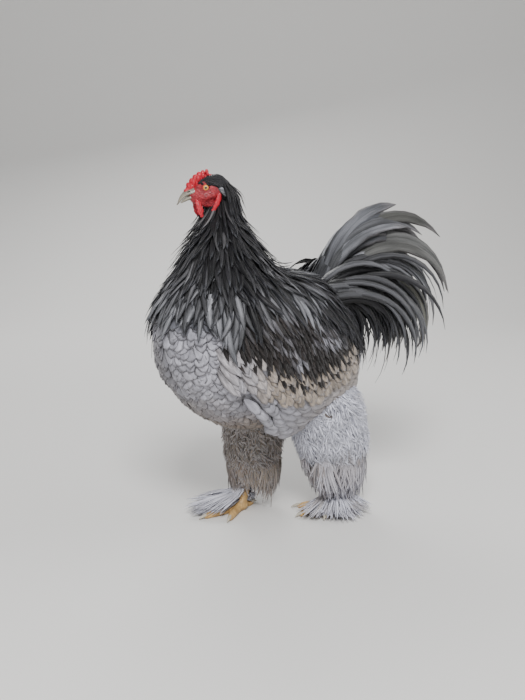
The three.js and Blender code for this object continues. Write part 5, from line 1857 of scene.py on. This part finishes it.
@dataclass
class Feet:
    """Scaled shanks and toes, horn claws and the plumes that cover them."""

    body: Body
    weaver: Weaver
    effects: Effects
    clumps: int = 230
    blades: int = 8
    voxel: float = 1.9
    claw_voxel: float = 0.9
    rng: np.random.Generator = field(default_factory=lambda: np.random.default_rng(53))
    toes: tuple[tuple[str, float, float, float], ...] = (
        ("inner", -34, 58, 7.4), ("middle", 2, 76, 8), ("outer", 38, 62, 7.2), ("back", 168, 34, 6.2))

    def way(self, leg: Leg, heading: float) -> Array:
        """The direction along the floor of a heading: straight ahead at 0, to the outer side at 90."""
        turn = math.radians(heading)
        return np.array([-math.cos(turn), leg.side * math.sin(turn), 0.0])

    def build(self) -> None:
        """Make both feet."""
        skin, horn = self.effects.bare("shank"), self.effects.bare("claw")
        for leg in self.body.legs:
            self.bare(leg, skin, horn)
            self.plumes(leg)

    def bare(self, leg: Leg, skin: Material, horn: Material) -> None:
        """The scaled shank with its toes, and the claws.

        Args:
            leg: Whose foot.
            skin: Material of the scales.
            horn: Material of the claws.
        """
        foot, hock = np.array(leg.foot, float), np.array(leg.hock, float)
        ankle = foot + np.array([6, 0, 20])
        shank = [hock + (ankle - hock) * t for t in (0, 0.35, 0.7, 1)]

        def toes(p: Array) -> Array:
            """Shank, ball of the foot and toes with their scutes.

            Args:
                p: Points, one a row.

            Returns:
                Millimetres, negative inside.
            """
            level = chain(p, shank, [11.5, 9.2, 8.8, 10.5])
            level = level - 0.55 * np.abs(np.sin(p[:, 2] * math.pi / 5.5)) * smooth(24, 34, p[:, 2])
            ball = np.linalg.norm((p - foot - np.array([2, 0, 9])) / np.array([16, 14, 11]), axis=1)
            level = self.body.blend(level, (ball - 1) * 12, 5.0)
            for _, heading, long, thick in self.toes:
                way = self.way(leg, heading)
                r = [thick * s for s in (1.15, 1.0, 0.95, 0.68)]
                path = [foot + way * (4 + long * t) + np.array([0, 0, q * 0.8])
                        for t, q in zip((0, 0.4, 0.75, 1), r)]
                along = (p - foot) @ way
                bands = 0.5 * np.abs(np.sin(along * math.pi / 5.0))
                bands = bands * smooth(2, 8, p[:, 2]) * smooth(12, 22, along)
                level = self.body.blend(level, chain(p, path, r) - bands, 3.0)
            return np.maximum(level, 0.2 - p[:, 2])

        low, high = foot + np.array([-92, -66, -2]), np.maximum(hock, foot) + np.array([46, 66, 14])
        points, faces = cast(toes, np.minimum(low, hock - 16), high, self.voxel)
        bake = chart(points, (foot[0] - 100, foot[2]), (160, 150))
        self.weaver.write(f"foot_{leg.name}", points, [faces], "shank_skin", skin,
                          (f"foot_{leg.name}", f"shank_{leg.name}"), bake=bake)
        for name, heading, long, _ in self.toes:
            way = self.way(leg, heading)
            path = [foot + way * (4 + long + step) + np.array([0, 0, z])
                    for step, z in ((-4, 6.4), (4, 6.8), (11, 5), (17, 2.2))]
            tip, root = path[-1], path[0]
            low, high = np.minimum(root, tip) - 6, np.maximum(root, tip) + 8
            points, faces = cast(lambda p: chain(p, path, [3.6, 3.4, 2.4, 0.8]), low, high,
                                 self.claw_voxel)
            bake = chart(points, tip[[0, 2]] - 30, (60, 60))
            piece = f"claw_{leg.name}_{name}"
            self.weaver.write(piece, points, [faces], "claw", horn, (piece,), bake=bake)

    def plumes(self, leg: Leg) -> None:
        """Soft plumes along the outer side of shank and toes, lying out over the floor.

        Args:
            leg: Whose foot.
        """
        tract = Tract(FeatherShape.WISP, 0.5, 0.2, 3, 0.12)
        foot, hock = np.array(leg.foot, float), np.array(leg.hock, float)
        clumps, blades = self.clumps, self.blades
        a = np.repeat(-8 + 175 * self.rng.random(clumps), blades) + self.rng.normal(0, 7.5, clumps * blades)
        h = np.repeat(self.rng.random(clumps) ** 1.2, blades)
        count = len(a)
        turn = np.radians(a)
        way = np.stack([-np.cos(turn), leg.side * np.sin(turn), np.zeros(count)], 1)
        stem = foot + np.array([6, 0, 12]) + (hock - foot - np.array([6, 0, 20])) * h[:, None]
        root = stem + way * lerp(9.0, 7.0, h)[:, None]
        full = np.interp(a, [-10, 20, 60, 110, 170], [78, 104, 100, 84, 58])
        chance = np.repeat(self.rng.random((2, clumps)), blades, axis=1)
        reach = full * (0.55 + 0.45 * chance[0]) * vary(self.rng, 0.07, count)
        spread = foot + way * reach[:, None]
        spread[:, 2] = 4 + 14 * chance[1] + self.rng.normal(0, 1.5, count)
        hanging = stem + way * (20 + 12 * chance[0])[:, None]
        hanging[:, 2] = stem[:, 2] - 24 - 10 * chance[1]
        above = smooth(0.2, 0.45, h)[:, None]
        tip = tint(spread, hanging, above)
        tip[:, 2] = np.maximum(tip[:, 2], 2.5)
        knee = (root + tip) / 2 + way * lerp(0.0, 7.0, above)
        knee[:, 2] = knee[:, 2] + lerp(9.0, 8.0, above[:, 0])
        sway = self.rng.normal(0, 5.0, count) + 9 * (chance[0] - 0.5)
        knee = knee + np.stack([-way[:, 1], way[:, 0], 0 * a], 1) * sway[:, None]
        t = np.linspace(0, 1, 8)[None, :, None]
        paths = (1 - t) ** 2 * root[:, None] + 2 * t * (1 - t) * knee[:, None] + t ** 2 * tip[:, None]
        paths[:, :, 2] = np.maximum(paths[:, :, 2], 2.0)
        ups = np.broadcast_to(unit(way * 0.25 + np.array([0, 0, 1.0]))[:, None], paths.shape)
        share = np.repeat(self.rng.random(clumps) * 0.5 * (1 if leg.side > 0 else 1.5), blades)[:, None]
        tone = tint(Shade.SILVER.light, Shade.TAN.light, share)
        brown = (smooth(0.5, 0.95, h) * 0.8)[:, None]
        tone = tint(tone, Shade.BROWN.light * 1.4, brown)
        bake = np.stack([np.clip(a / 180, 0.02, 0.98), np.clip(0.02 + 0.9 * h, 0.02, 0.98)], 1)
        tract.add(paths, ups, 4.2 + 2.4 * self.rng.random(count), tone, bake)
        tract.weave(self.weaver, f"foot_plumes_{leg.name}", "foot_feathers", self.effects.coat("plumes"),
                    (f"boot_{leg.name}",), 61)


@dataclass
class Studio:
    """Floor, lights and camera."""

    weaver: Weaver
    azimuth: float = -40.0
    elevation: float = 11.0
    distance: float = 1850.0
    target: tuple[float, float, float] = (-62.0, 0.0, 330.0)
    lens: float = 50.0
    sensor: float = 36.0
    sky: float = 0.42
    reach: float = 2.2
    bend: float = 1.6
    wide: float = 7.0
    sunk: float = 0.0005

    def build(self) -> None:
        """Make the stage."""
        self.ground()
        self.lights()
        self.camera()

    def ground(self) -> None:
        """A pale floor that curves up into a backdrop behind the bird."""
        turn, behind = math.radians(self.azimuth), -6.0
        profile = [(behind, -self.sunk), (self.reach, -self.sunk)]
        for angle in np.linspace(0, math.pi / 2, 17)[1:]:
            rise = self.bend * (1 - math.cos(angle)) - self.sunk
            profile.append((self.reach + self.bend * math.sin(angle), rise))
        profile.append((self.reach + self.bend, 6.0))
        ahead, right = (-math.sin(turn), math.cos(turn)), (math.cos(turn), math.sin(turn))
        points = [(ahead[0] * far + right[0] * side, ahead[1] * far + right[1] * side, z)
                  for far, z in profile for side in (-self.wide, self.wide)]
        faces = [(2 * i, 2 * i + 1, 2 * i + 3, 2 * i + 2) for i in range(len(profile) - 1)]
        mesh = bpy.data.meshes.new("floor")
        mesh.from_pydata(points, [], faces)
        for polygon in mesh.polygons:
            polygon.use_smooth = True
        floor = bpy.data.objects.new("floor", mesh)
        material, net, shader = blank("Pale floor")
        net.fill(shader, {"Base Color": (0.70, 0.69, 0.67, 1), "Roughness": 0.85})
        mesh.materials.append(material)
        bpy.context.scene.collection.objects.link(floor)

    def lights(self) -> None:
        """Soft daylight from above and a large lamp from the camera's left."""
        world = bpy.data.worlds.new("Studio")
        world.use_nodes = True
        world.node_tree.nodes["Background"].inputs[0].default_value = (0.84, 0.85, 0.87, 1)
        world.node_tree.nodes["Background"].inputs[1].default_value = self.sky
        bpy.context.scene.world = world
        for name, place, power, size in (("key", (-1.6, -2.0, 2.6), 150.0, 1.1),
                                         ("fill", (2.0, -1.2, 1.4), 25.0, 2.0),
                                         ("rim", (1.2, 2.4, 2.2), 60.0, 1.6)):
            lamp = bpy.data.lights.new(name, "AREA")
            lamp.energy, lamp.size = power, size
            holder = bpy.data.objects.new(name, lamp)
            holder.location = place
            toward = np.array([0.0, 0.0, 0.33]) - np.array(place)
            holder.rotation_euler = self.aim(toward)
            bpy.context.scene.collection.objects.link(holder)

    @staticmethod
    def aim(toward: Array) -> tuple[float, float, float]:
        """Turn an object whose front is -Z so that it looks along a direction."""
        x, y, z = toward / np.linalg.norm(toward)
        return (math.acos(-z), 0.0, math.atan2(-x, y))

    def camera(self) -> None:
        """The photograph's angle and framing."""
        az, el = math.radians(self.azimuth), math.radians(self.elevation)
        away = np.array([math.sin(az) * math.cos(el), -math.cos(az) * math.cos(el), math.sin(el)])
        target = self.weaver.metres(np.array([self.target]))[0]
        lens = bpy.data.cameras.new("camera")
        lens.lens, lens.sensor_width = self.lens, self.sensor
        lens.clip_end = 50.0
        holder = bpy.data.objects.new("camera", lens)
        holder.location = target + away * self.distance / 1000
        holder.rotation_euler = self.aim(-away)
        bpy.context.scene.collection.objects.link(holder)
        bpy.context.scene.camera = holder


def main() -> None:
    """Build the bird, piece by piece."""
    logging.basicConfig(level=logging.INFO, format="%(message)s")
    weaver, effects, body = Weaver(), Effects(), Body()
    Skin(body, weaver).build(effects)
    coat = Plumage(body, weaver, effects)
    coat.contour()
    coat.hackle()
    coat.saddle()
    coat.fluff()
    Wing(body, weaver, effects).build()
    Tail(weaver, effects).build()
    Head(weaver, effects).build()
    Feet(body, weaver, effects).build()
    Studio(weaver).build()
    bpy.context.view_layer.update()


if __name__ == "__main__":
    main()
